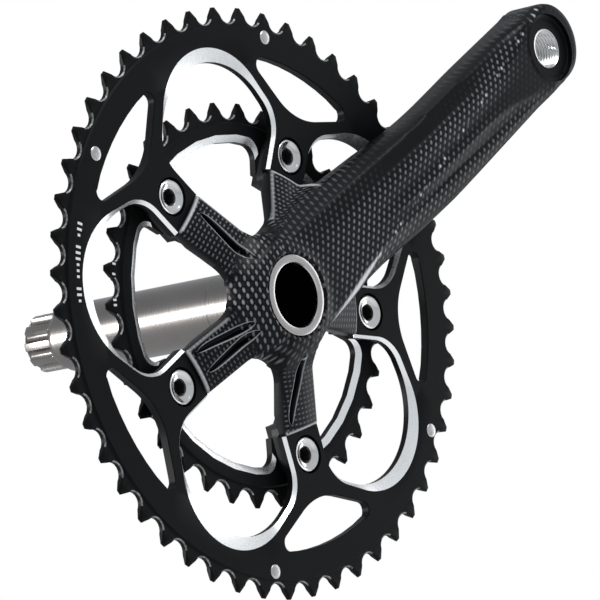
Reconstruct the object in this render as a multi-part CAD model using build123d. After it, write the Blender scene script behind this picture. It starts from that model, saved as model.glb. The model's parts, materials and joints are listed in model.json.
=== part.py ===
"""Road bicycle crankset, drive side: carbon crank arm, alloy spider, two chainrings and spindle.

Millimetres. +X points forward on the bicycle, +Y along the spindle towards the rider's left, +Z up.
The origin is on the spindle's axis at the centre of the bottom bracket. The drive side faces -Y.
A "height" is a distance outward, towards -Y, from the plane of the outer chainring's teeth.
In a plane across the spindle, local x is +X and local y is +Z.
"""
import math
import os

from build123d import *

# Layout
CHAIN_LINE = 43.5
RING_SPACING = 7.2
OUTER_TEETH_Y = -(CHAIN_LINE + RING_SPACING / 2)
CRANK_LENGTH = 172.5
ARM_ANGLE = 41.15
ARM_COUNT = 5
SECTOR = 360 / ARM_COUNT
BOLT_RADIUS = 55.0
FIRST_BOLT_ANGLE = ARM_ANGLE - SECTOR / 2

# Chainrings
CHAIN_PITCH = 12.7
ROLLER_SEAT = 4.0
TOOTH_THICKNESS = 2.1
TOOTH_EDGE = 0.9
OUTER_COUNT = 50
OUTER_TIP_RADIUS = 102.8
OUTER_PHASE = 54.39
INNER_COUNT = 34
INNER_TIP_RADIUS = 70.75
INNER_PHASE = 9.75
OUTER_FACE = 1.6
OUTER_BACK = -1.9
INNER_FACE = -5.5
INNER_BACK = -8.9
TAB_HALF_WIDTH = 8.6
TAB_BEVEL = 1.0
SHOULDER_RADIUS = 46.3
GAP_SIDE_START = SHOULDER_RADIUS - 16
GAP_CORNER = 65.56
GAP_CORNER_RADIUS = 12.9
GAP_APEX = 120.84
GAP_CROWN_RADIUS = 28.9
WINDOW_APEX = 68.16
WINDOW_SLOPE = 0.46
WINDOW_OUTER_RADIUS = 86.4
WINDOW_APEX_FILLET = 24.0
WINDOW_END_FILLET = 3.0
INNER_TAB_END = 42.0
INNER_GAP_RADIUS = 56.8
INNER_GAP_SIDE = [(12.6, 34.0), (26.5, 66.4)]
INNER_GAP_FILLET = 5.5
SEAT_RADIUS = 6.75
SEAT_FLOOR = -0.3
NUT_SEAT_RADIUS = 6.95
NUT_SEAT_FLOOR = -7.8
TIP_EDGE = 0.45
SLEEVE_RADIUS = 5.0
SLEEVE_HOLE_RADIUS = 5.05
THREAD_RADIUS = 4.0

# Chainring bolts, with sleeve nuts from behind
BOLT_HEAD_RADIUS = 6.0
BOLT_HEAD_TOP = 1.4
BOLT_HEAD_EDGE = 0.8
BOLT_SHANK_RADIUS = 3.95
BOLT_END = -7.2
SOCKET_FLATS = 5.0
SOCKET_FLOOR = -3.6
NUT_HEAD_RADIUS = 6.5
NUT_HEAD_BACK = -9.4
NUT_SLEEVE_TOP = -0.4
NUT_SLOT_WIDTH = 2.0
NUT_SLOT_DEPTH = 0.9

# Pins riveted into the outer chainring: angle and distance from the axis
SHIFT_PIN_PLACES = [(90.6, 93.8), (156.6, 91.2), (273.1, 93.4), (339.4, 93.9)]
SHIFT_PIN_RADIUS = 1.5
SHIFT_PIN_HEAD_RADIUS = 2.5
SHIFT_PIN_FRONT = 0.4
SHIFT_PIN_BACK = 0.9
DROP_PIN_RADIUS = 2.0
DROP_PIN_DISTANCE = 92.0
DROP_PIN_HEAD_RADIUS = 2.8
DROP_PIN_TOP = 5.6

# Spindle
SPINDLE_RADIUS = 12.0
SPINDLE_SEAT_RADIUS = 12.3
SPINDLE_SEAT_START = -2.7
SPINDLE_BORE_RADIUS = 8.8
FLANGE_RADIUS = 14.15
FLANGE_BORE_RADIUS = 11.15
FLANGE_HEIGHT = 16.0
FLANGE_DEPTH = 5.0
SPLINE_RADIUS = 10.5
SPLINE_START_Y = 44.4
SPINDLE_END_Y = 59.9
SPLINE_COUNT = 10
SPLINE_GROOVE_RADIUS = 1.5
SPLINE_GROOVE_DISTANCE = SPLINE_RADIUS + 0.3

# Spider and carbon moulding
HUB_RADIUS = 20.0
HUB_BACK = 2.2
HUB_TOP = 7.0
SPIDER_ARM_BACK = -5.4
SPIDER_ARM_TOP = 0.6
SPIDER_TAB_TOP = -1.9
ROOT_DISTANCE = 22.0
ROOT_BACK = 4.0
ROOT_TOP = 6.4
SLOPE_END = 38.5
SLOPE_END_BACK = -1.9
PAD_BACK = -6.8
PAD_LENGTH = 3.2
PAD_END = SHOULDER_RADIUS - 5.3
TAB_ROOT = SHOULDER_RADIUS - 1.5
COVER_RADIUS = 23.0
COVER_TOP = 15.4
COVER_LIP = 0.2
COVER_ARM_INNER_TOP = 9.0
COVER_ARM_OUTER_TOP = 3.0

# Crank arm and pedal end
PEDAL_FACE = 25.2
PEDAL_BACK = 10.8
PEDAL_END_RADIUS = 15.4
PEDAL_END_DISTANCE = 174.8
PEDAL_END_ANGLE = ARM_ANGLE + 0.15
PEDAL_END_STEP = 0.2
PEDAL_THREAD_RADIUS = 7.14
PEDAL_INSERT_RADIUS = 11.0
PEDAL_RING_RADIUS = 12.7
PEDAL_RING_FLOOR = PEDAL_FACE - 2.0
CORE_WALL = 2.6
CORE_START = 30.0
CORE_END = 135.0
ARM_ROOT_END = 26.0
PEDAL_END_START = 150.0

# Crank arm sections: distance from the axis, width to each side of the arm's line, back and front height
ARM_SECTIONS = [
    (0.0, 19.0, 19.5, ROOT_BACK, COVER_TOP),
    (CORE_START, 20.6, 19.9, ROOT_BACK, 16.6),
    (60.0, 18.4, 19.0, 5.2, 19.2),
    (95.0, 15.8, 17.7, 7.8, 22.4),
    (CORE_END, 16.2, 16.1, 9.8, 24.4),
    (CRANK_LENGTH, 15.9, 14.9, PEDAL_BACK + PEDAL_END_STEP, PEDAL_FACE - PEDAL_END_STEP),
]
ARM_EDGE_RADIUS = 4.2


def at(height):
    """Plane across the spindle at a height, extruding outward."""
    return Plane(origin=(0, OUTER_TEETH_Y - height, 0), x_dir=(1, 0, 0), z_dir=(0, -1, 0))


def slab(sketch, low, high):
    """Solid of a flat shape between two heights."""
    return extrude(at(low) * sketch, amount=high - low)


def polar(radius, angle):
    """Point in the local plane at a radius and an angle in degrees from +X towards +Z."""
    return radius * math.cos(math.radians(angle)), radius * math.sin(math.radians(angle))


def bolt_angle(index):
    """Direction of one of the five chainring bolts."""
    return FIRST_BOLT_ANGLE + SECTOR * index


def upright(sketch, angle):
    """Turn a flat shape drawn around local +Y so that it lies along a direction."""
    return Rot(0, 0, angle - 90) * sketch


def disc(radius, angle=0.0, distance=0.0):
    """Flat disc, on the axis or at a distance along a direction."""
    x, y = polar(distance, angle)
    return Pos(x, y) * Circle(radius)


def round_bar(radius, low, high, angle=0.0, distance=0.0):
    """Cylinder along the spindle's direction between two heights."""
    return slab(disc(radius, angle, distance), low, high)


def turned(points):
    """Solid of revolution about the spindle's axis from (radius, height) points."""
    profile_plane = Plane(origin=(0, OUTER_TEETH_Y, 0), x_dir=(1, 0, 0), z_dir=(0, 0, 1))
    outline = Polyline([(radius, -height) for radius, height in points], close=True)
    return revolve(profile_plane * make_face(outline), Axis.Y)


def sprocket_face(count, tip_radius, phase):
    """Toothed outline with a roller seat between each pair of teeth."""
    pitch_radius = CHAIN_PITCH / 2 / math.sin(math.pi / count)
    step = 360 / count
    seat_reach = math.radians(72)
    seat_radius = pitch_radius - ROLLER_SEAT * math.cos(seat_reach)
    seat_half_angle = math.degrees(ROLLER_SEAT * math.sin(seat_reach) / seat_radius)
    tip_half_angle = math.degrees(TOOTH_EDGE / tip_radius)
    edges = []
    for tooth in range(count):
        gap = phase + (tooth + 0.5) * step
        seat_in = polar(seat_radius, gap - seat_half_angle)
        seat_floor = polar(pitch_radius - ROLLER_SEAT, gap)
        seat_out = polar(seat_radius, gap + seat_half_angle)
        tip_in = polar(tip_radius, gap + step / 2 - tip_half_angle)
        tip_out = polar(tip_radius, gap + step / 2 + tip_half_angle)
        next_seat = polar(seat_radius, gap + step - seat_half_angle)
        edges.append(ThreePointArc(seat_in, seat_floor, seat_out))
        edges.append(Line(seat_out, tip_in))
        edges.append(Line(tip_in, tip_out))
        edges.append(Line(tip_out, next_seat))
    return make_face(Wire(edges))


def from_bolt_frame(x, y):
    """Move a point from a bolt's upright frame to the frame of the gap on its left."""
    half = math.radians(SECTOR / 2)
    return x * math.cos(half) + y * math.sin(half), y * math.cos(half) - x * math.sin(half)


def outer_gap():
    """Arched gap between two tabs of the outer chainring, drawn around local +Y."""
    tab_side = -(TAB_HALF_WIDTH + TAB_BEVEL)
    side_low = from_bolt_frame(tab_side, GAP_SIDE_START)
    side_top = from_bolt_frame(tab_side, GAP_CORNER)
    corners = [(-side_low[0], side_low[1]), (-side_top[0], side_top[1]), (0, GAP_APEX), side_top, side_low]
    arch = FilletPolyline(*corners, radius=[GAP_CORNER_RADIUS, GAP_CROWN_RADIUS, GAP_CORNER_RADIUS])
    return make_face(Wire([*arch.edges(), Line(side_low, corners[0])]))


def outer_window():
    """Three-cornered lightening window behind each bolt of the outer chainring."""
    width = 36.0
    corner = (width, WINDOW_APEX + WINDOW_SLOPE * width)
    wedge = make_face(Polyline((0, WINDOW_APEX), corner, (-corner[0], corner[1]), close=True))
    window = wedge & Circle(WINDOW_OUTER_RADIUS)
    window = fillet(window.vertices().sort_by(Axis.Y)[1:], radius=WINDOW_END_FILLET)
    return fillet(window.vertices().sort_by(Axis.Y)[0], radius=WINDOW_APEX_FILLET)


def inner_gap():
    """Gap between two tabs of the inner chainring, drawn around local +Y."""
    low, high = INNER_GAP_SIDE
    corners = [(-low[0], low[1]), (-high[0], high[1]), high, low]
    gap = make_face(Polyline(corners, close=True)) & Circle(INNER_GAP_RADIUS)
    return fillet(gap.vertices().sort_by(Axis.Y)[2:], radius=INNER_GAP_FILLET)


def around(shape_maker):
    """Five turned copies of a shape, one for each bolt direction."""
    return [shape_maker(bolt_angle(index)) for index in range(ARM_COUNT)]


def make_outer_chainring():
    """Outer chainring: toothed plate with tabs, windows and bolt seats."""
    face = sprocket_face(OUTER_COUNT, OUTER_TIP_RADIUS, OUTER_PHASE) - Circle(SHOULDER_RADIUS - 2)
    gap = outer_gap()
    window = outer_window()
    tab_end = Pos(0, SHOULDER_RADIUS - 2) * Rectangle(2 * TAB_HALF_WIDTH, 4)
    for index in range(ARM_COUNT):
        face -= upright(tab_end, bolt_angle(index))
        face -= upright(gap, bolt_angle(index) + SECTOR / 2)
        face -= upright(window, bolt_angle(index))
        face -= disc(SLEEVE_HOLE_RADIUS, bolt_angle(index), BOLT_RADIUS)
    for angle, distance in SHIFT_PIN_PLACES:
        face -= disc(SHIFT_PIN_RADIUS, angle, distance)
    face -= disc(DROP_PIN_RADIUS, ARM_ANGLE, DROP_PIN_DISTANCE)
    ring = slab(face, OUTER_BACK, OUTER_FACE)
    front_edge = 96.0
    back_edge = 92.5
    taper_start = OUTER_TIP_RADIUS - 2.2
    half_tooth = TOOTH_THICKNESS / 2
    ring &= turned([
        (0, OUTER_BACK), (back_edge, OUTER_BACK), (back_edge + 3, -half_tooth), (taper_start, -half_tooth),
        (OUTER_TIP_RADIUS + 1, -TIP_EDGE), (OUTER_TIP_RADIUS + 1, TIP_EDGE),
        (taper_start, half_tooth), (front_edge + 0.6, half_tooth), (front_edge, OUTER_FACE), (0, OUTER_FACE),
    ])
    for index in range(ARM_COUNT):
        ring -= round_bar(SEAT_RADIUS, SEAT_FLOOR, OUTER_FACE, bolt_angle(index), BOLT_RADIUS)
    return ring


def make_inner_chainring():
    """Inner chainring: smaller toothed plate with wide tabs and seats for the nuts."""
    face = sprocket_face(INNER_COUNT, INNER_TIP_RADIUS, INNER_PHASE) - Circle(INNER_TAB_END)
    gap = inner_gap()
    for index in range(ARM_COUNT):
        face -= upright(gap, bolt_angle(index) + SECTOR / 2)
        face -= disc(SLEEVE_HOLE_RADIUS, bolt_angle(index), BOLT_RADIUS)
    ring = slab(face, INNER_BACK, INNER_FACE)
    front_edge = 63.2
    back_edge = 62.4
    taper_start = INNER_TIP_RADIUS - 2.15
    back = -RING_SPACING - TOOTH_THICKNESS / 2
    front = -RING_SPACING + TOOTH_THICKNESS / 2
    ring &= turned([
        (0, INNER_BACK), (back_edge, INNER_BACK), (back_edge + 1, back), (taper_start, back),
        (INNER_TIP_RADIUS + 1, -RING_SPACING - TIP_EDGE), (INNER_TIP_RADIUS + 1, -RING_SPACING + TIP_EDGE),
        (taper_start, front), (front_edge + 0.6, front), (front_edge, INNER_FACE), (0, INNER_FACE),
    ])
    for index in range(ARM_COUNT):
        ring -= round_bar(NUT_SEAT_RADIUS, INNER_BACK, NUT_SEAT_FLOOR, bolt_angle(index), BOLT_RADIUS)
    return ring


def radial_block(half_width, start, end, low, high, angle):
    """Straight bar along a direction between two distances and two heights."""
    bar = Pos(0, (start + end) / 2) * Rectangle(2 * half_width, end - start)
    return slab(upright(bar, angle), low, high)


def side_bar(profile, half_width, angle):
    """Solid of a side profile of (distance, height) points, lying along a direction."""
    along_x, along_z = polar(1, angle)
    side_plane = Plane(
        origin=(0, OUTER_TEETH_Y, 0), x_dir=(along_x, 0, along_z), z_dir=(along_z, 0, -along_x))
    return extrude(side_plane * make_face(Polyline(profile, close=True)), amount=half_width, both=True)


def spider_arm(angle):
    """Forged arm with a sloping root, a pad behind its end and a thin tab for the bolt."""
    root = side_bar([
        (0, ROOT_BACK), (ROOT_DISTANCE, ROOT_BACK), (SLOPE_END, SLOPE_END_BACK), (PAD_END, SPIDER_ARM_BACK),
        (TAB_ROOT, SPIDER_ARM_BACK), (TAB_ROOT, SPIDER_ARM_TOP), (ROOT_DISTANCE, ROOT_TOP), (0, ROOT_TOP),
    ], TAB_HALF_WIDTH - 1.2, angle)
    pad = radial_block(TAB_HALF_WIDTH - 0.4, PAD_END - PAD_LENGTH, PAD_END, PAD_BACK, SPIDER_TAB_TOP, angle)
    tab = radial_block(TAB_HALF_WIDTH, PAD_END, BOLT_RADIUS, SPIDER_ARM_BACK, SPIDER_TAB_TOP, angle)
    nose = round_bar(TAB_HALF_WIDTH, SPIDER_ARM_BACK, SPIDER_TAB_TOP, angle, BOLT_RADIUS)
    hole = round_bar(SLEEVE_HOLE_RADIUS, SPIDER_ARM_BACK, SPIDER_TAB_TOP, angle, BOLT_RADIUS)
    return root + pad + tab + nose - hole


def spindle_space():
    """Room for the spindle and its end flange in the hub."""
    back = HUB_BACK - 1
    flange_floor = FLANGE_HEIGHT - FLANGE_DEPTH
    front = FLANGE_HEIGHT + 1
    return turned([
        (0, back), (SPINDLE_SEAT_RADIUS, back), (SPINDLE_SEAT_RADIUS, flange_floor),
        (FLANGE_RADIUS, flange_floor), (FLANGE_RADIUS, front), (0, front),
    ])


def make_spider():
    """Forged alloy spider with its hub boss."""
    body = round_bar(HUB_RADIUS, HUB_BACK, HUB_TOP)
    for arm in around(spider_arm):
        body += arm
    return body - spindle_space()


def cover_arm(angle):
    """Carbon facing of one spider arm, thin at the tab and thick at the hub."""
    lip_back = SPIDER_TAB_TOP + COVER_LIP
    return side_bar([
        (0, ROOT_BACK + COVER_LIP), (ROOT_DISTANCE, ROOT_BACK + COVER_LIP), (SLOPE_END, lip_back),
        (TAB_ROOT, lip_back), (TAB_ROOT, OUTER_BACK), (SHOULDER_RADIUS, OUTER_BACK),
        (SHOULDER_RADIUS, COVER_ARM_OUTER_TOP), (COVER_RADIUS - 2, COVER_ARM_INNER_TOP),
        (0, COVER_ARM_INNER_TOP),
    ], TAB_HALF_WIDTH, angle)


def arm_plane(distance, height):
    """Plane across the crank arm; local x runs across it and local y towards the bicycle."""
    x, z = polar(distance, ARM_ANGLE)
    along_x, along_z = polar(1, ARM_ANGLE)
    return Plane(
        origin=(x, OUTER_TEETH_Y - height, z), x_dir=(along_z, 0, -along_x), z_dir=(along_x, 0, along_z))


def arm_loft(wall, start, end):
    """Crank arm's body, or its inside when a wall thickness is given."""
    faces = []
    for distance, leading, trailing, back, front in ARM_SECTIONS:
        if start <= distance <= end:
            section = RectangleRounded(leading + trailing - 2 * wall, front - back - 2 * wall,
                                       ARM_EDGE_RADIUS - wall / 2)
            middle = Pos((trailing - leading) / 2, 0)
            faces.append(arm_plane(distance, (front + back) / 2) * middle * section)
    return loft(faces)


def make_arm_core():
    """Foam core that the crank arm is moulded around."""
    return arm_loft(CORE_WALL, CORE_START, CORE_END)


def arm_stretch(body, start, end):
    """Part of a body between two planes across the crank arm."""
    width = 200.0
    slice_body = extrude(arm_plane(start, 0) * Rectangle(width, width), amount=end - start)
    return body & slice_body


def make_spider_cover(spider, core):
    """Carbon cover of the hub, with its five arm facings and the root of the crank arm."""
    body = turned([
        (0, ROOT_BACK), (COVER_RADIUS, ROOT_BACK), (COVER_RADIUS, COVER_ARM_INNER_TOP),
        (COVER_RADIUS - 3, COVER_TOP - 1), (COVER_RADIUS - 4.5, COVER_TOP), (0, COVER_TOP),
    ])
    for facing in around(cover_arm):
        body += facing
    body += arm_stretch(arm_loft(0, 0, CRANK_LENGTH), 0, ARM_ROOT_END)
    body -= spider
    body -= core
    body -= round_bar(HUB_RADIUS, HUB_BACK, HUB_TOP)
    return body - spindle_space()


def make_crank_arm(spider, spider_cover, core):
    """Carbon crank arm between the hub cover and the pedal end, around its foam core."""
    body = arm_stretch(arm_loft(0, 0, CRANK_LENGTH), ARM_ROOT_END, PEDAL_END_START)
    body -= spider_cover
    body -= spider
    return body - core


def make_pedal_end():
    """Round carbon end of the crank arm, a little thicker than the arm, with the seat of the pedal bush."""
    body = arm_stretch(arm_loft(0, 0, CRANK_LENGTH), PEDAL_END_START, CRANK_LENGTH)
    body += round_bar(PEDAL_END_RADIUS, PEDAL_BACK, PEDAL_FACE, PEDAL_END_ANGLE, PEDAL_END_DISTANCE)
    return body - make_insert_space()


def make_pedal_insert():
    """Threaded bush for the pedal, shown with the thread's outer diameter as a plain bore."""
    body = round_bar(PEDAL_INSERT_RADIUS, PEDAL_BACK, PEDAL_RING_FLOOR, ARM_ANGLE, CRANK_LENGTH)
    return body - round_bar(PEDAL_THREAD_RADIUS, PEDAL_BACK, PEDAL_FACE, ARM_ANGLE, CRANK_LENGTH)


def make_insert_space():
    """Seat of the pedal bush and the shallow ring recess around it."""
    seat = round_bar(PEDAL_INSERT_RADIUS, PEDAL_BACK, PEDAL_FACE, ARM_ANGLE, CRANK_LENGTH)
    return seat + round_bar(PEDAL_RING_RADIUS, PEDAL_RING_FLOOR, PEDAL_FACE, ARM_ANGLE, CRANK_LENGTH)


def make_spindle():
    """Hollow steel spindle with a drive-side flange and a splined left end."""
    neck_radius = 11.2
    chamfer = 0.8
    end_height = OUTER_TEETH_Y - SPINDLE_END_Y
    spline_height = OUTER_TEETH_Y - SPLINE_START_Y
    flange_floor = FLANGE_HEIGHT - FLANGE_DEPTH
    body = turned([
        (SPINDLE_BORE_RADIUS, end_height), (SPLINE_RADIUS - chamfer, end_height),
        (SPLINE_RADIUS, end_height + chamfer), (SPLINE_RADIUS, spline_height - 3),
        (neck_radius, spline_height - 1),
        (SPINDLE_RADIUS, spline_height), (SPINDLE_RADIUS, SPINDLE_SEAT_START),
        (SPINDLE_SEAT_RADIUS, SPINDLE_SEAT_START), (SPINDLE_SEAT_RADIUS, flange_floor),
        (FLANGE_RADIUS, flange_floor),
        (FLANGE_RADIUS, FLANGE_HEIGHT - 0.5), (FLANGE_RADIUS - 0.5, FLANGE_HEIGHT),
        (FLANGE_BORE_RADIUS, FLANGE_HEIGHT), (FLANGE_BORE_RADIUS, flange_floor + 1),
        (SPINDLE_BORE_RADIUS, flange_floor - 1),
    ])
    for index in range(SPLINE_COUNT):
        body -= round_bar(SPLINE_GROOVE_RADIUS, end_height - 1, spline_height - 3,
                          index * 360 / SPLINE_COUNT, SPLINE_GROOVE_DISTANCE)
    return body


def make_spindle_plug():
    """Rubber bung that closes the spindle's bore on the drive side."""
    rim_height = FLANGE_HEIGHT - 1.6
    floor_height = FLANGE_HEIGHT - 3.0
    back_height = FLANGE_HEIGHT - FLANGE_DEPTH + 1.2
    lip = 1.2
    return turned([
        (0, back_height), (FLANGE_BORE_RADIUS, back_height), (FLANGE_BORE_RADIUS, rim_height),
        (FLANGE_BORE_RADIUS - lip, rim_height), (FLANGE_BORE_RADIUS - lip, floor_height), (0, floor_height),
    ])


def make_bolt(angle):
    """Chainring bolt: domed head, threaded shank and hexagon socket."""
    head = round_bar(BOLT_HEAD_RADIUS, SEAT_FLOOR, BOLT_HEAD_TOP, angle, BOLT_RADIUS)
    head = fillet(head.faces().sort_by(Axis.Y)[0].edges(), radius=BOLT_HEAD_EDGE)
    shank = round_bar(BOLT_SHANK_RADIUS, BOLT_END, SEAT_FLOOR, angle, BOLT_RADIUS)
    x, y = polar(BOLT_RADIUS, angle)
    hexagon = Pos(x, y) * RegularPolygon(SOCKET_FLATS / 2, 6, major_radius=False)
    return head + shank - slab(hexagon, SOCKET_FLOOR, BOLT_HEAD_TOP)


def make_nut(angle):
    """Sleeve nut: thin sleeve through the rings and a slotted head behind."""
    head = round_bar(NUT_HEAD_RADIUS, NUT_HEAD_BACK, NUT_SEAT_FLOOR, angle, BOLT_RADIUS)
    sleeve = round_bar(SLEEVE_RADIUS, NUT_SEAT_FLOOR, NUT_SLEEVE_TOP, angle, BOLT_RADIUS)
    x, y = polar(BOLT_RADIUS, angle)
    slot = Pos(x, y) * Rectangle(NUT_SLOT_WIDTH, 3 * NUT_HEAD_RADIUS)
    body = head + sleeve - round_bar(THREAD_RADIUS, NUT_HEAD_BACK, NUT_SLEEVE_TOP, angle, BOLT_RADIUS)
    return body - slab(slot, NUT_HEAD_BACK, NUT_HEAD_BACK + NUT_SLOT_DEPTH)


def make_shift_pin(angle, distance):
    """Steel shift pin: rivet head in front and a wider lifting head behind."""
    shank = round_bar(SHIFT_PIN_RADIUS, OUTER_BACK, OUTER_FACE, angle, distance)
    front = round_bar(SHIFT_PIN_HEAD_RADIUS, OUTER_FACE, OUTER_FACE + SHIFT_PIN_FRONT, angle, distance)
    back = round_bar(SHIFT_PIN_HEAD_RADIUS, OUTER_BACK - SHIFT_PIN_BACK, OUTER_BACK, angle, distance)
    return shank + front + back


def make_drop_pin():
    """Pin behind the crank arm that keeps a dropped chain off the arm."""
    shank = round_bar(DROP_PIN_RADIUS, OUTER_BACK, OUTER_FACE, ARM_ANGLE, DROP_PIN_DISTANCE)
    post = round_bar(DROP_PIN_HEAD_RADIUS, OUTER_FACE, DROP_PIN_TOP, ARM_ANGLE, DROP_PIN_DISTANCE)
    return shank + post


def make_parts():
    """Every piece of the crankset by name."""
    spider = make_spider()
    core = make_arm_core()
    spider_cover = make_spider_cover(spider, core)
    parts = {
        "spider": spider,
        "spider_cover": spider_cover,
        "arm_core": core,
        "crank_arm": make_crank_arm(spider, spider_cover, core),
        "pedal_end": make_pedal_end(),
        "pedal_insert": make_pedal_insert(),
        "spindle": make_spindle(),
        "spindle_plug": make_spindle_plug(),
        "outer_chainring": make_outer_chainring(),
        "inner_chainring": make_inner_chainring(),
        "chain_drop_pin": make_drop_pin(),
    }
    for index in range(ARM_COUNT):
        parts[f"chainring_bolt_{index + 1}"] = make_bolt(bolt_angle(index))
        parts[f"chainring_nut_{index + 1}"] = make_nut(bolt_angle(index))
    for index, (angle, distance) in enumerate(SHIFT_PIN_PLACES):
        parts[f"shift_pin_{index + 1}"] = make_shift_pin(angle, distance)
    return parts


os.makedirs("parts", exist_ok=True)
for name, shape in make_parts().items():
    export_step(shape, f"parts/{name}.step")
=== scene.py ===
"""Looks of the road bicycle crankset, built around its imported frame.

Lengths here are millimetres and become metres when a mesh is made. A flat point is (x, z), as in the frame.
A "height" is a distance outward, towards -Y, from the plane of the outer chainring's teeth.
"""
import json
import math

import bmesh
import bpy
import numpy as np
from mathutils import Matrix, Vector
from mathutils.geometry import delaunay_2d_cdt


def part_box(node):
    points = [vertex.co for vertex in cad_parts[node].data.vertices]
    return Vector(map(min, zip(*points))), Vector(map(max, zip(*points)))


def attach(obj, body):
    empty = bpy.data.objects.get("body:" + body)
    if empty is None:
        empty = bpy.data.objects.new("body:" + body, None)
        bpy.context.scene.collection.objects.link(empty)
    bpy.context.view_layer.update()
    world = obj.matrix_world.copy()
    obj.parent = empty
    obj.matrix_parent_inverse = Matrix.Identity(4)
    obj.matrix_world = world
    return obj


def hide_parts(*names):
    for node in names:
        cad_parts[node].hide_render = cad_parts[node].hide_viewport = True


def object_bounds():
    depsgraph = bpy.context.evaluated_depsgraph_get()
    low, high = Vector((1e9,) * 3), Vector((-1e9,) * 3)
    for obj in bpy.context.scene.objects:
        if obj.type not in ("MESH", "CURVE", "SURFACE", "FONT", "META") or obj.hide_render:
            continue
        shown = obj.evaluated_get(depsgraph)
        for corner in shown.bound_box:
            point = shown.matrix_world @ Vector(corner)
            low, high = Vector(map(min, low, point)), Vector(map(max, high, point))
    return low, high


MM = 0.001
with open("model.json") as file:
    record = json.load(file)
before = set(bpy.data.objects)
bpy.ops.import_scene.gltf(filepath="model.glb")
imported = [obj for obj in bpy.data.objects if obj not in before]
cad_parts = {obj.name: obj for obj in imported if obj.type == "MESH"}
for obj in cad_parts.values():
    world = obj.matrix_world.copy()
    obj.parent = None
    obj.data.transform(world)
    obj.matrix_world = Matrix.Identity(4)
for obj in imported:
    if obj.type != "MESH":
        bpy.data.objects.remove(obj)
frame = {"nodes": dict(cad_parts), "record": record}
cad_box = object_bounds()

# Layout: the crank's length and direction come from the frame
mounts = {mount["name"]: mount for mount in frame["record"]["mounts"]}
pedal = mounts["pedal_thread"]["pos_m"]
CRANK_LENGTH = math.hypot(pedal[0], pedal[2]) / MM
ARM_ANGLE = math.degrees(math.atan2(pedal[2], pedal[0]))
ARM_COUNT = 5
SECTOR = 360 / ARM_COUNT
BOLT_ANGLES = [ARM_ANGLE - SECTOR / 2 + SECTOR * index for index in range(ARM_COUNT)]
OUTER_FACE = 1.6
OUTER_BACK = -1.9
TEETH_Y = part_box("outer_chainring")[0].y / MM + OUTER_FACE
BOLT_RADIUS = 55.0

# Chainrings
CHAIN_PITCH = 12.7
ROLLER_SEAT = 4.0
SEAT_SWEEP = 144
TOOTH_EDGE = 0.9
HALF_TOOTH = 1.05
HALF_TIP = 0.45
OUTER_COUNT = 50
OUTER_TIP = 102.8
OUTER_PHASE = 54.39
INNER_COUNT = 34
INNER_TIP = 70.75
INNER_PHASE = 9.75
RING_SPACING = 7.2
INNER_FACE = -5.5
INNER_BACK = -8.9
TAB_END = 46.8
TAB_HALF_WIDTH = 8.6
SHOULDER_RADIUS = 46.3
SEAT_RADIUS = 6.75
SEAT_FLOOR = -0.3
SEAT_WALL = 0.06
SLEEVE_RADIUS = 5.05

# Spindle
SPINDLE_RADIUS = 12.0
FLANGE_RADIUS = 14.15
FLANGE_BORE = 11.15
FLANGE_HEIGHT = 16.0
SPLINE_COUNT = 10
SPLINE_RADIUS = 10.5
SPINDLE_BORE = 8.8

# Pedal end
PEDAL_FACE = 25.2
PEDAL_BACK = 10.8
PEDAL_END_RADIUS = 15.4
PEDAL_END_DISTANCE = 174.8
PEDAL_END_SIDE = -0.46
PEDAL_RING_RADIUS = 12.7
PEDAL_RING_DEPTH = 2.0
PEDAL_INSERT_RADIUS = 11.0
PEDAL_THREAD_RADIUS = 7.14
PEDAL_THREAD_PITCH = 1.27
PEDAL_THREAD_DEPTH = 0.72


# ---------------------------------------------------------------- flat shapes

def polar(radius, angle):
    """Flat point at a radius and an angle in degrees from +X towards +Z."""
    return np.array((radius * math.cos(math.radians(angle)), radius * math.sin(math.radians(angle))))


def turned_points(points, angle):
    """Points drawn around the upright direction, turned so that it lies along an angle."""
    turn = math.radians(angle - 90)
    cos, sin = math.cos(turn), math.sin(turn)
    points = np.asarray(points, float)
    x, y = points[:, 0], points[:, 1]
    return np.column_stack((x * cos - y * sin, x * sin + y * cos))


def circle(radius, count, centre=(0.0, 0.0)):
    """Points of a full circle."""
    turns = np.arange(count) * 2 * math.pi / count
    return np.column_stack((centre[0] + radius * np.cos(turns), centre[1] + radius * np.sin(turns)))


def rounded(corners, radii, spacing=1.0):
    """Closed outline whose corners are rounded; a radius of 0 leaves a corner sharp."""
    outline = []
    count = len(corners)
    for index, radius in enumerate(radii):
        corner = np.asarray(corners[index], float)
        if radius == 0:
            outline.append(corner)
            continue
        before = np.asarray(corners[index - 1], float) - corner
        after = np.asarray(corners[(index + 1) % count], float) - corner
        before /= np.linalg.norm(before)
        after /= np.linalg.norm(after)
        half = math.acos(max(-1.0, min(1.0, float(before @ after)))) / 2
        middle = (before + after) / np.linalg.norm(before + after)
        centre = corner + middle * radius / math.sin(half)
        start = corner + before * radius / math.tan(half) - centre
        end = corner + after * radius / math.tan(half) - centre
        first = math.atan2(start[1], start[0])
        sweep = (math.atan2(end[1], end[0]) - first + math.pi) % (2 * math.pi) - math.pi
        steps = max(2, int(abs(sweep) * radius / spacing) + 1)
        for step in range(steps + 1):
            turn = first + sweep * step / steps
            outline.append(centre + radius * np.array((math.cos(turn), math.sin(turn))))
    return np.array(outline)


def shrunk(loop, distance):
    """Outline moved sideways by a distance, towards the left of its direction of travel."""
    ahead = np.roll(loop, -1, axis=0) - np.roll(loop, 1, axis=0)
    ahead /= np.linalg.norm(ahead, axis=1)[:, None]
    return loop + distance * np.column_stack((-ahead[:, 1], ahead[:, 0]))


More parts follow.
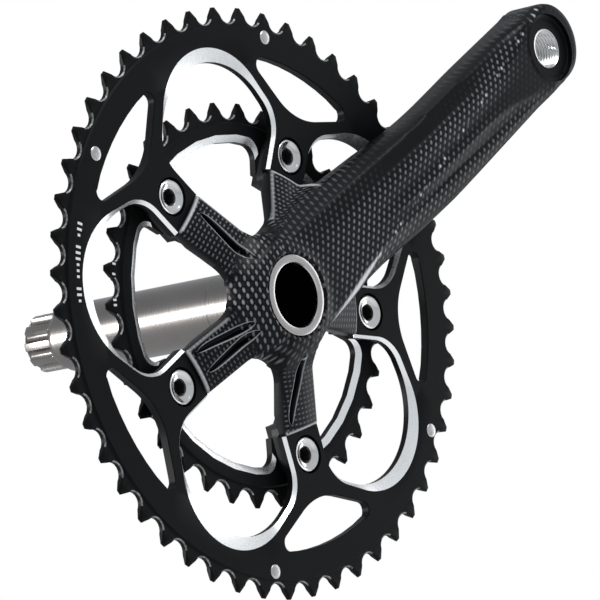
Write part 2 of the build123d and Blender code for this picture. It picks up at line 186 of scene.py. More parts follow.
def inside(loop, points):
    """Which points lie inside a closed outline."""
    x, y = points[:, 0][:, None], points[:, 1][:, None]
    x0, y0 = loop[:, 0], loop[:, 1]
    x1, y1 = np.roll(x0, -1), np.roll(y0, -1)
    crosses = (y0 > y) != (y1 > y)
    with np.errstate(divide="ignore", invalid="ignore"):
        hit = x < (x1 - x0) * (y - y0) / (y1 - y0) + x0
    return (crosses & hit).sum(axis=1) % 2 == 1


def triangles_between(outline, holes, lines=(), loose=()):
    """Constrained triangles inside an outline and outside its holes, and each point's source loop or -1."""
    loops = [outline, *holes, *lines]
    points, edges, source = [], [], []
    for number, loop in enumerate(loops):
        start = len(points)
        points += [Vector(p) for p in loop]
        edges += [(start + i, start + (i + 1) % len(loop)) for i in range(len(loop))]
        source += [number] * len(loop)
    points += [Vector(p) for p in loose]
    source += [-1] * len(loose)
    made = delaunay_2d_cdt(points, edges, [], 0, 1e-5)
    flat = np.array([tuple(p) for p in made[0]])
    faces = np.array([tuple(f) for f in made[2]])
    owner = np.array([min((source[i] for i in origin if source[i] >= 0), default=-1) for origin in made[3]])
    middle = flat[faces].mean(axis=1)
    keep = inside(outline, middle)
    for hole in holes:
        keep &= ~inside(hole, middle)
    return flat, faces[keep], owner


def border_edges(faces):
    """Edges that belong to one triangle only, in their triangle's direction."""
    seen = {}
    for face in faces:
        for i in range(3):
            edge = (int(face[i]), int(face[(i + 1) % 3]))
            if edge[::-1] in seen:
                del seen[edge[::-1]]
            else:
                seen[edge] = True
    return list(seen)


# ---------------------------------------------------------------- meshes

class Shape:
    """Points (x, z, height), faces and each face's paint number."""

    def __init__(self):
        self.points = []
        self.faces = []
        self.paint = []

    def add(self, points, faces, paint=0):
        """Add a block of points and the faces between them."""
        start = len(self.points)
        self.points += [tuple(p) for p in points]
        for number, face in enumerate(faces):
            self.faces.append([start + int(i) for i in face])
            self.paint.append(paint if isinstance(paint, int) else int(paint[number]))


def to_world(point):
    """Frame position in metres of an (x, z, height) point in millimetres."""
    return (point[0] * MM, (TEETH_Y - point[2]) * MM, point[1] * MM)


def add_object(name, data):
    """New object of the scene that shows a mesh, a light or a camera."""
    item = bpy.data.objects.new(name, data)
    bpy.context.scene.collection.objects.link(item)
    return item


def make_piece(name, shape, materials, sharp=32, nodes=()):
    """Object from a shape, riding on the frame in place of its CAD nodes, by default the one of its name."""
    nodes = nodes or [name]
    mesh = bpy.data.meshes.new(f"{name}_detail")
    mesh.from_pydata([to_world(p) for p in shape.points], [], shape.faces)
    for material in materials:
        mesh.materials.append(material)
    mesh.polygons.foreach_set("material_index", shape.paint)
    mesh.update()
    work = bmesh.new()
    work.from_mesh(mesh)
    bmesh.ops.recalc_face_normals(work, faces=work.faces)
    work.to_mesh(mesh)
    work.free()
    mesh.polygons.foreach_set("use_smooth", [True] * len(mesh.polygons))
    mesh.set_sharp_from_angle(angle=math.radians(sharp))
    piece = add_object(f"{name}_detail", mesh)
    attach(piece, "root")
    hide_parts(*nodes)
    return piece


def closed_skin(flat, faces, top, low, marks=0):
    """Closed shape from the same triangles at two heights, with walls along every border."""
    shape = Shape()
    shape.add(np.column_stack((flat, top)), faces, marks)
    shape.add(np.column_stack((flat, low)), faces[:, ::-1])
    start = len(flat)
    shape.faces += [[a, b, start + b, start + a] for a, b in border_edges(faces)]
    shape.paint += [0] * (len(shape.faces) - len(shape.paint))
    return shape


def band_faces(low, high, count):
    """Four-sided faces between two closed rows of points, given each row's first number."""
    return [(low + i, low + (i + 1) % count, high + (i + 1) % count, high + i) for i in range(count)]


def plate(outline, holes, front, back, drops, lines=(), loose=(), paint=None):
    """Plate between two height functions. drops gives how far each border loop falls at the two faces."""
    flat, faces, owner = triangles_between(outline, holes, lines, loose)
    fall = np.zeros((len(flat), 2))
    for number, (front_drop, back_drop) in enumerate(drops):
        fall[owner == number] = (front_drop, back_drop)
    marks = paint(flat[faces].mean(axis=1)) if paint else 0
    return closed_skin(flat, faces, front(flat) - fall[:, 0], back(flat) + fall[:, 1], marks)


def lathe(shape, rings, centre=(0.0, 0.0), segments=64, paint=0, paints=None):
    """Add a turned body. Each ring is (radius, height) or (radius function of the angle, height)."""
    turns = np.arange(segments) * 2 * math.pi / segments
    points = []
    for radius, height in rings:
        if callable(radius):
            reach = np.array([radius(turn) for turn in turns])
        else:
            reach = np.full(segments, float(radius))
        x, z = centre[0] + reach * np.cos(turns), centre[1] + reach * np.sin(turns)
        points.append(np.column_stack((x, z, np.full(segments, height))))
    faces, marks = [], []
    for ring in range(len(rings) - 1):
        faces += band_faces(ring * segments, (ring + 1) * segments, segments)
        marks += [paints[ring] if paints else paint] * segments
    start = len(shape.points)
    shape.add(np.concatenate(points), faces, marks)
    for ring in (0, len(rings) - 1):
        radius = rings[ring][0]
        if callable(radius) or radius > 0.2:
            continue
        cap = [start + ring * segments + i for i in range(segments)]
        shape.faces.append(cap)
        shape.paint.append(paints[min(ring, len(rings) - 2)] if paints else paint)
    return shape


def closed_lathe(shape, rings, **options):
    """Add a turned body whose profile closes on itself, such as a tube."""
    return lathe(shape, [*rings, rings[0]], **options)


# ---------------------------------------------------------------- materials

class Nodes:
    """Short way to build a shader from sockets and numbers."""

    def __init__(self, name):
        self.material = bpy.data.materials.new(name)
        self.material.use_nodes = True
        self.tree = self.material.node_tree
        self.shader = self.tree.nodes["Principled BSDF"]

    def put(self, kind, **inputs):
        """Add a node; named inputs are numbers, colours or other sockets."""
        node = self.tree.nodes.new(kind)
        for key, value in inputs.items():
            self.feed(node.inputs[key.replace("_", " ")], value)
        return node

    def feed(self, socket, value):
        """Link a socket or set its value."""
        if isinstance(value, bpy.types.NodeSocket):
            self.tree.links.new(value, socket)
        else:
            socket.default_value = value

    def math(self, operation, first, second=0.0):
        """Result of one arithmetic node."""
        node = self.tree.nodes.new("ShaderNodeMath")
        node.operation = operation
        for socket, value in zip(node.inputs, (first, second)):
            self.feed(socket, value)
        return node.outputs[0]

    def add(self, first, second):
        """Sum of two values."""
        return self.math("ADD", first, second)

    def subtract(self, first, second):
        """First value less the second."""
        return self.math("SUBTRACT", first, second)

    def multiply(self, first, second):
        """Product of two values."""
        return self.math("MULTIPLY", first, second)

    def mix(self, share, first, second):
        """Colour between two colours."""
        node = self.tree.nodes.new("ShaderNodeMix")
        node.data_type = "RGBA"
        self.feed(node.inputs["Factor"], share)
        self.feed(node.inputs["A"], first)
        self.feed(node.inputs["B"], second)
        return node.outputs["Result"]

    def ramp(self, value, low, high, out_low=0.0, out_high=1.0):
        """Value carried from one range to another and held at its ends."""
        node = self.put("ShaderNodeMapRange", Value=value)
        node.inputs["From Min"].default_value = low
        node.inputs["From Max"].default_value = high
        node.inputs["To Min"].default_value = out_low
        node.inputs["To Max"].default_value = out_high
        return node.outputs[0]

    def place(self, scale=(1, 1, 1)):
        """Position on the object, stretched along the frame's axes."""
        spot = self.tree.nodes.new("ShaderNodeTexCoord").outputs["Object"]
        node = self.put("ShaderNodeMapping", Vector=spot)
        node.inputs["Scale"].default_value = scale
        return node.outputs[0]

    def noise(self, spot, scale, detail=3.0, rough=0.5):
        """Smooth noise between 0 and 1."""
        node = self.put("ShaderNodeTexNoise", Vector=spot, Scale=scale, Detail=detail, Roughness=rough)
        return node.outputs[0]

    def bump(self, height, strength, distance):
        """Normal that follows a height."""
        return self.put("ShaderNodeBump", Height=height, Strength=strength, Distance=distance).outputs[0]

    def attribute(self, name):
        """Value that the mesh holds for each point."""
        node = self.tree.nodes.new("ShaderNodeAttribute")
        node.attribute_name = name
        return node.outputs["Fac"]

    def finish(self, colour, roughness, normal=None, **constants):
        """Feed the shader; constants are set on its own sockets."""
        self.feed(self.shader.inputs["Base Color"], colour)
        self.feed(self.shader.inputs["Roughness"], roughness)
        if normal is not None:
            self.feed(self.shader.inputs["Normal"], normal)
        for key, value in constants.items():
            self.shader.inputs[key.replace("_", " ")].default_value = value
        return self.material


def grey(value, tint=(1.0, 1.0, 1.0)):
    """Opaque colour from a lightness and a tint."""
    return (value * tint[0], value * tint[1], value * tint[2], 1.0)


def anodised_material():
    """Satin black anodising with a fine blasted grain, dust-thin scuffs and faint tone changes."""
    make = Nodes("black_anodised")
    spot = make.place()
    cloud = make.noise(spot, 24, 4)
    grain = make.noise(spot, 5200, 2)
    scuff = make.ramp(make.noise(make.place((400, 90, 60)), 6, 5, 0.7), 0.66, 0.8)
    colour = make.mix(cloud, grey(0.002, (0.92, 1.0, 1.1)), grey(0.0045, (0.94, 1.0, 1.08)))
    colour = make.mix(make.multiply(scuff, 0.2), colour, grey(0.02))
    rough = make.add(make.ramp(cloud, 0.3, 0.7, 0.36, 0.48), make.multiply(grain, 0.06))
    normal = make.bump(grain, 0.12, 0.00004)
    return make.finish(colour, rough, normal, Specular_IOR_Level=0.06)


def bare_alloy_material():
    """Machined silver edge with fine cutter lines."""
    make = Nodes("machined_alloy")
    lines = make.noise(make.place((900, 200, 900)), 3, 2)
    cloud = make.noise(make.place(), 60, 3)
    colour = make.mix(cloud, grey(0.8), grey(0.93, (1.0, 1.0, 0.99)))
    rough = make.ramp(lines, 0.3, 0.7, 0.24, 0.4)
    normal = make.bump(lines, 0.18, 0.00003)
    return make.finish(colour, rough, normal, Metallic=1.0)


def worn_material():
    """Grey facet where the chain has rubbed the anodising thin."""
    make = Nodes("worn_tooth")
    wear = make.ramp(make.noise(make.place(), 900, 4, 0.6), 0.35, 0.65)
    colour = make.mix(wear, grey(0.055), grey(0.3))
    return make.finish(colour, make.ramp(wear, 0, 1, 0.5, 0.34), None, Metallic=0.55)


def print_material():
    """Pale printed marks, slightly uneven."""
    make = Nodes("pale_print")
    cover = make.noise(make.place(), 1500, 3)
    colour = make.mix(cover, grey(0.5), grey(0.72))
    return make.finish(colour, 0.5, make.bump(cover, 0.1, 0.00003), Specular_IOR_Level=0.3)


def forged_material():
    """Black forging with a soft blue-black sheen."""
    make = Nodes("forged_black")
    spot = make.place()
    cloud = make.noise(spot, 35, 4)
    grain = make.noise(spot, 3000, 2)
    colour = make.mix(cloud, grey(0.003, (0.9, 1.0, 1.2)), grey(0.007, (0.9, 1.0, 1.15)))
    normal = make.bump(grain, 0.15, 0.00005)
    return make.finish(colour, make.ramp(cloud, 0.3, 0.7, 0.36, 0.5), normal, Specular_IOR_Level=0.12)


def steel_material(name, low, high, rough_low, rough_high, tint=(1.0, 0.975, 0.945), scale=(4, 2600, 4)):
    """Turned or ground steel: fine lines around the spindle's direction, and slow tone changes."""
    make = Nodes(name)
    lines = make.noise(make.place(scale), 1.0, 3, 0.6)
    cloud = make.noise(make.place(), 30, 3)
    share = make.multiply(make.add(lines, cloud), 0.5)
    colour = make.mix(make.ramp(share, 0.3, 0.7), grey(low, tint), grey(high, tint))
    rough = make.ramp(lines, 0.3, 0.7, rough_low, rough_high)
    return make.finish(colour, rough, make.bump(lines, 0.12, 0.00002), Metallic=1.0)


def rubber_material():
    """Deep black moulded rubber."""
    make = Nodes("black_rubber")
    grain = make.noise(make.place(), 2600, 3)
    colour = make.mix(grain, grey(0.0002), grey(0.0006))
    return make.finish(colour, 0.8, make.bump(grain, 0.2, 0.00005), Specular_IOR_Level=0.0)


def foam_material():
    """Rigid cream foam with closed cells."""
    make = Nodes("core_foam")
    cells = make.put("ShaderNodeTexVoronoi", Vector=make.place(), Scale=1400.0).outputs[0]
    colour = make.mix(cells, grey(0.6, (1.0, 0.9, 0.7)), grey(0.8, (1.0, 0.92, 0.75)))
    return make.finish(colour, 0.85, make.bump(cells, 0.4, 0.0001))


WEAVE_LONG = 1.62
WEAVE_WIDE = 1.9


def carbon_material():
    """Plain-woven carbon under a clear coat, with the raised tows' highlights painted as pale dots and
    painted highlight along some edges. The weave map holds millimetres along and across the cloth.
    """
    make = Nodes("woven_carbon")
    weave = make.tree.nodes.new("ShaderNodeUVMap")
    weave.uv_map = "weave"
    parts = make.put("ShaderNodeSeparateXYZ", Vector=weave.outputs[0])
    sway = make.multiply(make.subtract(make.noise(make.place(), 45, 2), 0.5), 0.9)
    along = make.math("DIVIDE", parts.outputs[0], WEAVE_LONG)
    across = make.math("DIVIDE", make.add(parts.outputs[1], sway), WEAVE_WIDE)
    row = make.math("FLOOR", along)
    column = make.math("FLOOR", across)
    side = make.math("FLOORED_MODULO", make.add(row, column), 2.0)
    in_row = make.subtract(make.math("FRACT", along), 0.5)
    in_column = make.subtract(make.math("FRACT", across), 0.5)
    # A raised tow is longer than its cell, so its pad is a slightly slanted oval
    slant = make.add(in_column, make.multiply(in_row, 0.35))
    long_part = make.math("POWER", make.math("ABSOLUTE", make.math("DIVIDE", in_row, 0.56)), 2.0)
    wide_part = make.math("POWER", make.math("ABSOLUTE", make.math("DIVIDE", slant, 0.44)), 2.0)
    pad = make.math("MAXIMUM", make.subtract(1.0, make.add(long_part, wide_part)), 0.0)
    raised = make.multiply(pad, make.subtract(1.0, side))
    sunk = make.multiply(pad, side)
    fibre_x = make.multiply(parts.outputs[0], 0.6)
    fibre_y = make.multiply(parts.outputs[1], 9.0)
    fibres = make.noise(make.put("ShaderNodeCombineXYZ", X=fibre_x, Y=fibre_y).outputs[0], 1.0, 2)
    strength = make.attribute("weave_and_highlight_share")
    painted_highlight = make.attribute("painted_highlight")
    tone = make.noise(make.place(), 26, 3)
    patch = make.ramp(tone, 0.35, 0.65, 0.7, 1.2)
    show = make.multiply(strength, patch)
    # Painted highlights: each raised tow's pad is painted pale as its glint and each sunk tow a fainter
    # pale, more where the weave share is high.
    glint = make.multiply(make.math("POWER", raised, 1.4), make.ramp(fibres, 0.25, 0.75, 0.75, 1.2))
    dark = make.mix(tone, grey(0.0008, (0.94, 1.0, 1.22)), grey(0.0022, (0.9, 1.0, 1.45)))
    shaded = make.mix(make.multiply(show, make.ramp(pad, 0.0, 0.35, 0.65, 0.0)), dark, grey(0.0006))
    soft = make.mix(make.multiply(make.multiply(sunk, show), 0.35), shaded, grey(0.012))
    colour = make.mix(make.multiply(glint, show), soft, grey(0.17, (0.98, 1.0, 1.08)))
    # Painted highlight: the carbon turns pale grey along the streak beside the crank arm and along the cover
    # arms' edges and groove lips.
    colour = make.mix(painted_highlight, colour, grey(0.75, (1.0, 1.0, 1.03)))
    normal = make.bump(make.multiply(pad, show), 0.35, 0.00012)
    rough = make.ramp(painted_highlight, 0.0, 1.0, 0.42, 0.25)
    return make.finish(colour, rough, normal, Specular_IOR_Level=0.08, Coat_Weight=0.1, Coat_Roughness=0.14,
                       Coat_IOR=1.4)


def floor_material():
    """Matt pale floor."""
    make = Nodes("pale_floor")
    cloud = make.noise(make.place(), 2, 3)
    return make.finish(make.mix(cloud, grey(0.82), grey(0.86)), 0.8)


anodised = anodised_material()
bare_alloy = bare_alloy_material()
worn_tooth = worn_material()
pale_print = print_material()
forged = forged_material()
carbon = carbon_material()
spindle_steel = steel_material("ground_steel", 0.15, 0.2, 0.24, 0.34, (1.0, 0.93, 0.89))
flange_steel = steel_material("flange_steel", 0.42, 0.56, 0.18, 0.28, (1.0, 0.95, 0.93))
bolt_steel = steel_material("polished_steel", 0.56, 0.72, 0.1, 0.2, (1.0, 0.985, 0.97), (60, 900, 60))
insert_alloy = steel_material("threaded_alloy", 0.42, 0.58, 0.2, 0.34, (1.0, 1.0, 0.99))
pin_steel = steel_material("turned_pin", 0.4, 0.62, 0.26, 0.4, (1.0, 0.99, 0.98), (500, 900, 500))
rubber = rubber_material()
foam = foam_material()


# ---------------------------------------------------------------- chainrings

def toothed_outline(count, tip, phase, seat, edge=TOOTH_EDGE):
    """Toothed outline with a roller seat of the given radius between each pair of teeth."""
    pitch_radius = CHAIN_PITCH / 2 / math.sin(math.pi / count)
    step = 360 / count
    tip_half = math.degrees(edge / tip)
    arc_steps = 8
    outline = []
    for tooth in range(count):
        gap = phase + (tooth + 0.5) * step
        middle = polar(pitch_radius, gap)
        for i in reversed(range(arc_steps + 1)):
            turn = gap + 180 - SEAT_SWEEP / 2 + SEAT_SWEEP * i / arc_steps
            outline.append(middle + polar(seat, turn))
        for share in (-1, 1):
            outline.append(polar(tip, gap + step / 2 + share * tip_half))
    return np.array(outline)


def face_breaks(body, body_end, tooth_start, taper, tip, side):
    """Radii and heights of a ring's face: its body, the step to the teeth and their thin tips."""
    return [(0, body), (body_end, body), (tooth_start, side * HALF_TOOTH), (taper, side * HALF_TOOTH),
            (tip, side * HALF_TIP)]


def tooth_height(middle, breaks):
    """Height of a ring's face as a function of the distance from the axis."""
    radii = [radius for radius, _ in breaks]
    offsets = [offset for _, offset in breaks]
    return lambda flat: middle + np.interp(np.hypot(flat[:, 0], flat[:, 1]), radii, offsets)


def from_bolt_frame(x, y):
    """Move a point from a bolt's upright frame to the frame of the gap on its left."""
    half = math.radians(SECTOR / 2)
    return x * math.cos(half) + y * math.sin(half), y * math.cos(half) - x * math.sin(half)


def outer_opening(half_width, corner_height, apex, corner_radius, crown_radius, end):
    """Whole inner border of the outer ring: five arched gaps joined by the ends of five tabs."""
    low = from_bolt_frame(-half_width, end)
    top = from_bolt_frame(-half_width, corner_height)
    corners, radii = [], []
    for angle in BOLT_ANGLES:
        gap = [low, top, (0, apex), (-top[0], top[1]), (-low[0], low[1])]
        corners += list(turned_points(gap, angle + SECTOR / 2))
        radii += [0, corner_radius, crown_radius, corner_radius, 0]
    return rounded(corners, radii)


def window_outline():
    """Three-cornered window behind a bolt, drawn around the upright direction."""
    apex, slope, outer = 68.16, 0.46, 86.4
    reach = (-apex * slope + math.sqrt(outer ** 2 * (1 + slope ** 2) - apex ** 2)) / (1 + slope ** 2)
    half = math.degrees(math.atan2(reach, apex + slope * reach))
    arc_steps = 9
    arc = [polar(outer, 90 - half + 2 * half * i / arc_steps) for i in range(arc_steps + 1)]
    radii = [24.0, 3.0, *[0] * (arc_steps - 1), 3.0]
    return rounded([(0, apex), *arc], radii, 0.8)


def tick_marks(radius, first, spacing, bars):
    """Small printed bars side by side along a circle, each given by its length across."""
    loops = []
    for number, length in enumerate(bars):
        if length == 0:
            continue
        angle = first + spacing * number
        half = spacing * 0.22
        inner, outer = radius - length / 2, radius + length / 2
        loops.append(np.array([polar(inner, angle - half), polar(outer, angle - half),
                               polar(outer, angle + half), polar(inner, angle + half)]))
    return loops


def tooth_centres(count, phase, radius, reach):
    """Loose points inside each tooth, where its sides start to thin."""
    step = 360 / count
    offsets = (-reach, 0, reach)
    return [polar(radius, phase + tooth * step + math.degrees(offset / radius)) for tooth in range(count)
            for offset in offsets]


def ring_piece(name, count, tip, phase, middle,
               opening_face, opening_edge, windows,
               front_breaks, back_breaks, opening_drop, marks, seat, facet_limit, silver_start):
    """Toothed ring with its bevelled opening, windows, bolt holes and printed marks.

    seat is the radius and the floor's height of the round recess under each bolt's head.
    """
    outline = toothed_outline(count, tip, phase, ROLLER_SEAT)
    outline_face = toothed_outline(count, tip - 0.35, phase, ROLLER_SEAT + 0.5, TOOTH_EDGE - 0.3)
    holes = [opening_edge]
    drops = [(0.28, 0.25), (opening_drop, 0.0)]
    faces = [opening_face]
    for window in windows:
        holes.append(window)
        drops.append((0.3, 0.3))
        faces.append(shrunk(window, -0.3))
    seat_drop = (front_breaks[0][1] - seat[1], 0.0)
    seats = []
    for angle in BOLT_ANGLES:
        centre = polar(BOLT_RADIUS, angle)
        holes.append(circle(SLEEVE_RADIUS, 32, centre))
        drops.append(seat_drop)
        seats.append(circle(seat[0] - SEAT_WALL, 40, centre))
        faces.append(circle(seat[0], 40, centre))
    lines = [*seats, outline_face, *faces]
    for breaks in (front_breaks, back_breaks):
        for radius, _ in breaks[1:-2]:
            lines.append(circle(radius, 4 * count))
    lines += marks
    loose = tooth_centres(count, phase, front_breaks[-2][0], TOOTH_EDGE)
    drops += [seat_drop] * len(seats)
    opening_limit = np.hypot(*opening_face.T).max() + 1

    def paint(middles):
        """Silver on the opening's bevel, worn grey at the tooth roots, pale on the printed marks."""
        number = np.zeros(len(middles), int)
        reach = np.hypot(middles[:, 0], middles[:, 1])
        number[inside(opening_face, middles) & (reach > silver_start)] = 1
        number[(reach < facet_limit) & (reach > opening_limit) & ~inside(outline_face, middles)] = 2
        for mark in marks:
            number[inside(mark, middles)] = 3
        return number

    shape = plate(outline, holes, tooth_height(middle, front_breaks), tooth_height(middle, back_breaks),
                  drops, lines, loose, paint)
    make_piece(name, shape, [anodised, bare_alloy, worn_tooth, pale_print], 20)


def make_outer_chainring():
    """Outer ring with 50 teeth."""
    face = outer_opening(TAB_HALF_WIDTH, 66.5, 123.8, 14.0, 27.3, SHOULDER_RADIUS)
    edge = outer_opening(TAB_HALF_WIDTH + 1.0, 65.56, 120.84, 12.9, 28.9, SHOULDER_RADIUS - 0.2)
    windows = [turned_points(window_outline(), angle) for angle in BOLT_ANGLES]
    taper = OUTER_TIP - 2.2
    front = face_breaks(OUTER_FACE, 96.0, 96.6, taper, OUTER_TIP, 1)
    back = face_breaks(OUTER_BACK, 92.5, 95.5, taper, OUTER_TIP, -1)
    marks = tick_marks(91.5, 173.0, 1.25, [2.2, 2.2, 1.2, 0, 2.2, 2.2, 2.2, 1.2, 1.2, 1.2, 0, 2.2, 2.2, 1.2])
    ring_piece("outer_chainring", OUTER_COUNT, OUTER_TIP, OUTER_PHASE, 0.0, face, edge, windows,
               front, back, 1.15, marks, (SEAT_RADIUS, SEAT_FLOOR), 98.7, 0)


def inner_opening(low, high, radius, corner):
    """Whole inner border of the inner ring: five wide gaps between five tabs."""
    low, high = np.array(low), np.array(high)
    along = (high - low) / np.linalg.norm(high - low)

    def on_side(reach):
        """Point of the gap's side at a distance from the axis."""
        offset = low @ along
        return low + along * (-offset + math.sqrt(reach ** 2 - low @ low + offset ** 2))

    start, turn = on_side(TAB_END), on_side(radius)
    half = math.degrees(math.atan2(turn[0], turn[1]))
    arc_steps = 5
    arc = [polar(radius, 90 - half + 2 * half * i / arc_steps) for i in range(arc_steps + 1)]
    corners, radii = [], []
    for angle in BOLT_ANGLES:
        corners += list(turned_points([start, *arc, (-start[0], start[1])], angle + SECTOR / 2))
        radii += [0, corner, *[0] * (arc_steps - 1), corner, 0]
    return rounded(corners, radii)


def make_inner_chainring():
    """Inner ring with 34 teeth."""
    face = inner_opening((19.2, 34.0), (30.8, 66.4), 59.3, 5.5)
    edge = inner_opening((18.4, 34.0), (30.0, 66.4), 56.8, 5.0)
    taper = INNER_TIP - 2.15
    front_rise = INNER_FACE + RING_SPACING
    back_rise = INNER_BACK + RING_SPACING
    front = face_breaks(front_rise, 63.2, 63.8, taper, INNER_TIP, 1)
    back = face_breaks(back_rise, 62.4, 63.4, taper, INNER_TIP, -1)
    marks = tick_marks(66.9, 176.0, 1.5, [1.5, 1.5, 0, 1.5, 1.5, 0.9, 0.9, 0, 1.5, 1.5])
    ring_piece("inner_chainring", INNER_COUNT, INNER_TIP, INNER_PHASE, -RING_SPACING, face, edge, [],
               front, back, 0.9, marks, (SEAT_RADIUS, front_rise), 66.4, 52)


# ---------------------------------------------------------------- carbon body

def hermite(x, stations, values):
    """Smooth curve through (station, value) pairs."""
    stations, values = np.asarray(stations, float), np.asarray(values, float)
    slopes = np.gradient(values, stations)
    x = np.clip(x, stations[0], stations[-1])
    right = np.clip(np.searchsorted(stations, x), 1, len(stations) - 1)
    left = right - 1
    span = stations[right] - stations[left]
    u = (x - stations[left]) / span
    return ((2 * u ** 3 - 3 * u ** 2 + 1) * values[left] + (u ** 3 - 2 * u ** 2 + u) * span * slopes[left]
            + (3 * u ** 2 - 2 * u ** 3) * values[right] + (u ** 3 - u ** 2) * span * slopes[right])


def smooth_min(a, b, width):
    """Smaller of two fields, with a rounded change-over."""
    share = np.clip(0.5 + 0.5 * (b - a) / width, 0, 1)
    return b + (a - b) * share - width * share * (1 - share)


def smooth_max(a, b, width):
    """Larger of two fields, with a rounded change-over."""
    return -smooth_min(-a, -b, width)


def smooth_step(x, low, high):
    """Share from 0 to 1 between two limits."""
    u = np.clip((x - low) / (high - low), 0, 1)
    return u * u * (3 - 2 * u)


# Crank arm: distance from the axis, width to its left and right, back height, front height
ARM_STATIONS = [
    (0.0, 19.0, 19.5, 4.0, 15.4), (30.0, 20.6, 19.4, 4.0, 16.6), (60.0, 18.4, 18.8, 5.2, 19.2),
    (95.0, 15.8, 18.0, 7.8, 22.4), (135.0, 16.2, 16.3, 9.8, 24.4),
    (CRANK_LENGTH, 15.9, 15.0, PEDAL_BACK, PEDAL_FACE),
]
# Cross-sections of the arm's front: across, drop below the front height, share of weave and of its painted
# tow highlights that shows.
# In order: left edge, flat band's two sides, crease, ridge's two sides, channel, second ridge,
# scoop's near side and floor, two rows of the right band, smooth strip, right edge.
SECTIONS = {
    0.0: [(-19, 3.0, .6), (-16, 1.2, .7), (-12, .5, .8), (-10, .3, .8), (-6, .1, .8),
          (-2, 0, .7), (1, 0, .6),
          (4, 0, .7), (7, .1, .8), (10, .3, .9), (13, .5, .9),
          (16, .7, .9), (18.4, 1.2, .8), (19.5, 3.0, .8)],
    30.0: [(-20.6, 8.5, .4), (-15, 2.2, .3), (-9.6, .7, .4), (-8.8, .5, .6),
           (-6, .1, .8), (-2, 0, .9), (1, 0, 1),
           (4, 0, 1), (7, .1, 1), (9.5, .2, 1), (12, .4, 1), (15, .7, .9), (16.6, 1.7, .2), (19.4, 9.0, .9)],
    52.0: [(-19, 9.0, .5), (-14.6, 3.2, .2), (-9.4, 1.1, .2), (-8.4, .8, .6), (-5.9, .1, .9), (-3.5, .1, .9),
           (0, .3, .95), (3.4, .1, 1), (6, .3, .8), (8.2, .4, .9), (10.4, .7, 1), (12.2, 1.5, .95),
           (15.5, 3.6, .8), (19.1, 8.5, .6)],
    70.0: [(-17.6, 9.5, .5), (-14.3, 3.6, 0), (-8.9, 1.3, 0), (-8, .7, .7), (-5.7, .1, 1), (-3.9, .1, 1),
           (.3, .7, .45), (4.1, .1, 1), (6.2, .7, .5), (8.4, 1.0, .7), (10.4, 1.1, 1), (12.8, 1.9, .9),
           (15.8, 2.9, .15), (18.8, 6.2, .1)],
    93.0: [(-15.9, 9.5, .5), (-14.4, 3.5, 0), (-8.6, 1.2, 0), (-7.9, .6, .7), (-7, .1, 1), (-4.2, .1, 1),
           (.9, .95, .3), (4.5, .2, 1), (6.75, .9, .3), (8.8, 1.8, .25), (10.3, 1.2, 1), (12.6, 1.6, .9),
           (16.6, 2.8, .05), (18.1, 4.8, 0)],
    123.0: [(-16, 8.5, .5), (-14.8, 3.6, .05), (-9.9, 1.5, .05), (-8.9, .9, .6), (-7.4, .2, 1), (-4, .1, 1),
            (.5, .7, .2), (4.2, .3, .5), (6.2, 1.1, .15), (9.6, 1.9, .25), (11, 1.3, .9), (12.8, 1.6, .8),
            (15.4, 2.4, .1), (16.9, 4.4, 0)],
    140.0: [(-16.2, 7.0, .4), (-14.6, 3.4, .2), (-12.6, 2.4, .5), (-10.6, 1.7, .9), (-8.2, 1.0, 1),
            (-4.6, .25, .9),
            (.6, .3, .06), (5.6, .3, .06), (7.4, 1.0, .4), (10, 1.5, .6), (11.6, 1.3, .8), (13, 1.6, .6),
            (14.8, 2.2, .1), (16.2, 4.0, 0)],
    154.0: [(-16, 5.4, .5), (-14.6, 3.1, .8), (-13.2, 2.2, 1), (-11.8, 1.5, 1),
            (-10.2, .7, .9), (-8.4, .1, .2),
            (.4, .1, .06), (8.6, .1, .06), (9.8, .4, .3), (11, .8, .5), (12.2, 1.0, .5), (13.2, 1.4, .3),
            (14.4, 2.0, .1), (15.7, 3.6, 0)],
    165.0: [(-15.9, 3.2, .9), (-15.2, 1.8, .9), (-14.6, 1.0, .8),
            (-14, .5, .5), (-12.8, .1, .1), (-9, 0, .05),
            (.4, 0, .05), (8.6, 0, .05), (11.6, .05, .1), (12.8, .2, .2), (13.4, .4, .2), (14, .7, .1),
            (14.5, 1.1, .1), (15.1, 2.2, 0)],
}
ROOT_DISTANCE = 22.0
ROOT_BACK = 4.2
SLOPE_END = 38.5
SLOPE_END_BACK = -1.7
COVER_RADIUS = 22.4
COVER_TOP = 15.4
# Grooves in the cover arms: arm number, side offset at the hub and at the tab, half width and depth
GROOVES = [(2, 0.4, 2.6, 1.6, 3.2), (3, 2.4, 5.8, 1.4, 2.6),
           (3, -1.2, -2.0, 1.5, 2.8), (4, -1.0, 6.2, 1.8, 3.0)]
GROOVE_SCALES = (0.4, 0.85, 1.08, 1.3)
GROOVE_START = 20.5
GROOVE_END = 43.0
GROOVE_LIP = 1.08
THINNEST = 0.05
# Painted highlight streak beside the crank arm: distances along the arm and the offsets across it at those
# ends
STREAK_START = 10
STREAK_END = 53
STREAK_SIDES = (19.0, 10.3)
# Seam between the hub cover and what it meets
SEAM_RADIUS = 24
CARBON_SPACING = 0.8
RIM_DEPTHS = (0.3, 0.7, 1.2, 1.9, 2.7)


def arm_frame(flat):
    """Distances along and clockwise across the crank arm."""
    return local_frame(flat, ARM_ANGLE)


def local_frame(flat, angle):
    """Distances along a direction and clockwise across it."""
    cos, sin = math.cos(math.radians(angle)), math.sin(math.radians(angle))
    return flat[:, 0] * cos + flat[:, 1] * sin, flat[:, 0] * sin - flat[:, 1] * cos


def flat_from(s, t, angle):
    """Flat points from distances along a direction and clockwise across it."""
    cos, sin = polar(1, angle)
    return np.column_stack((s * cos + t * sin, s * sin - t * cos))


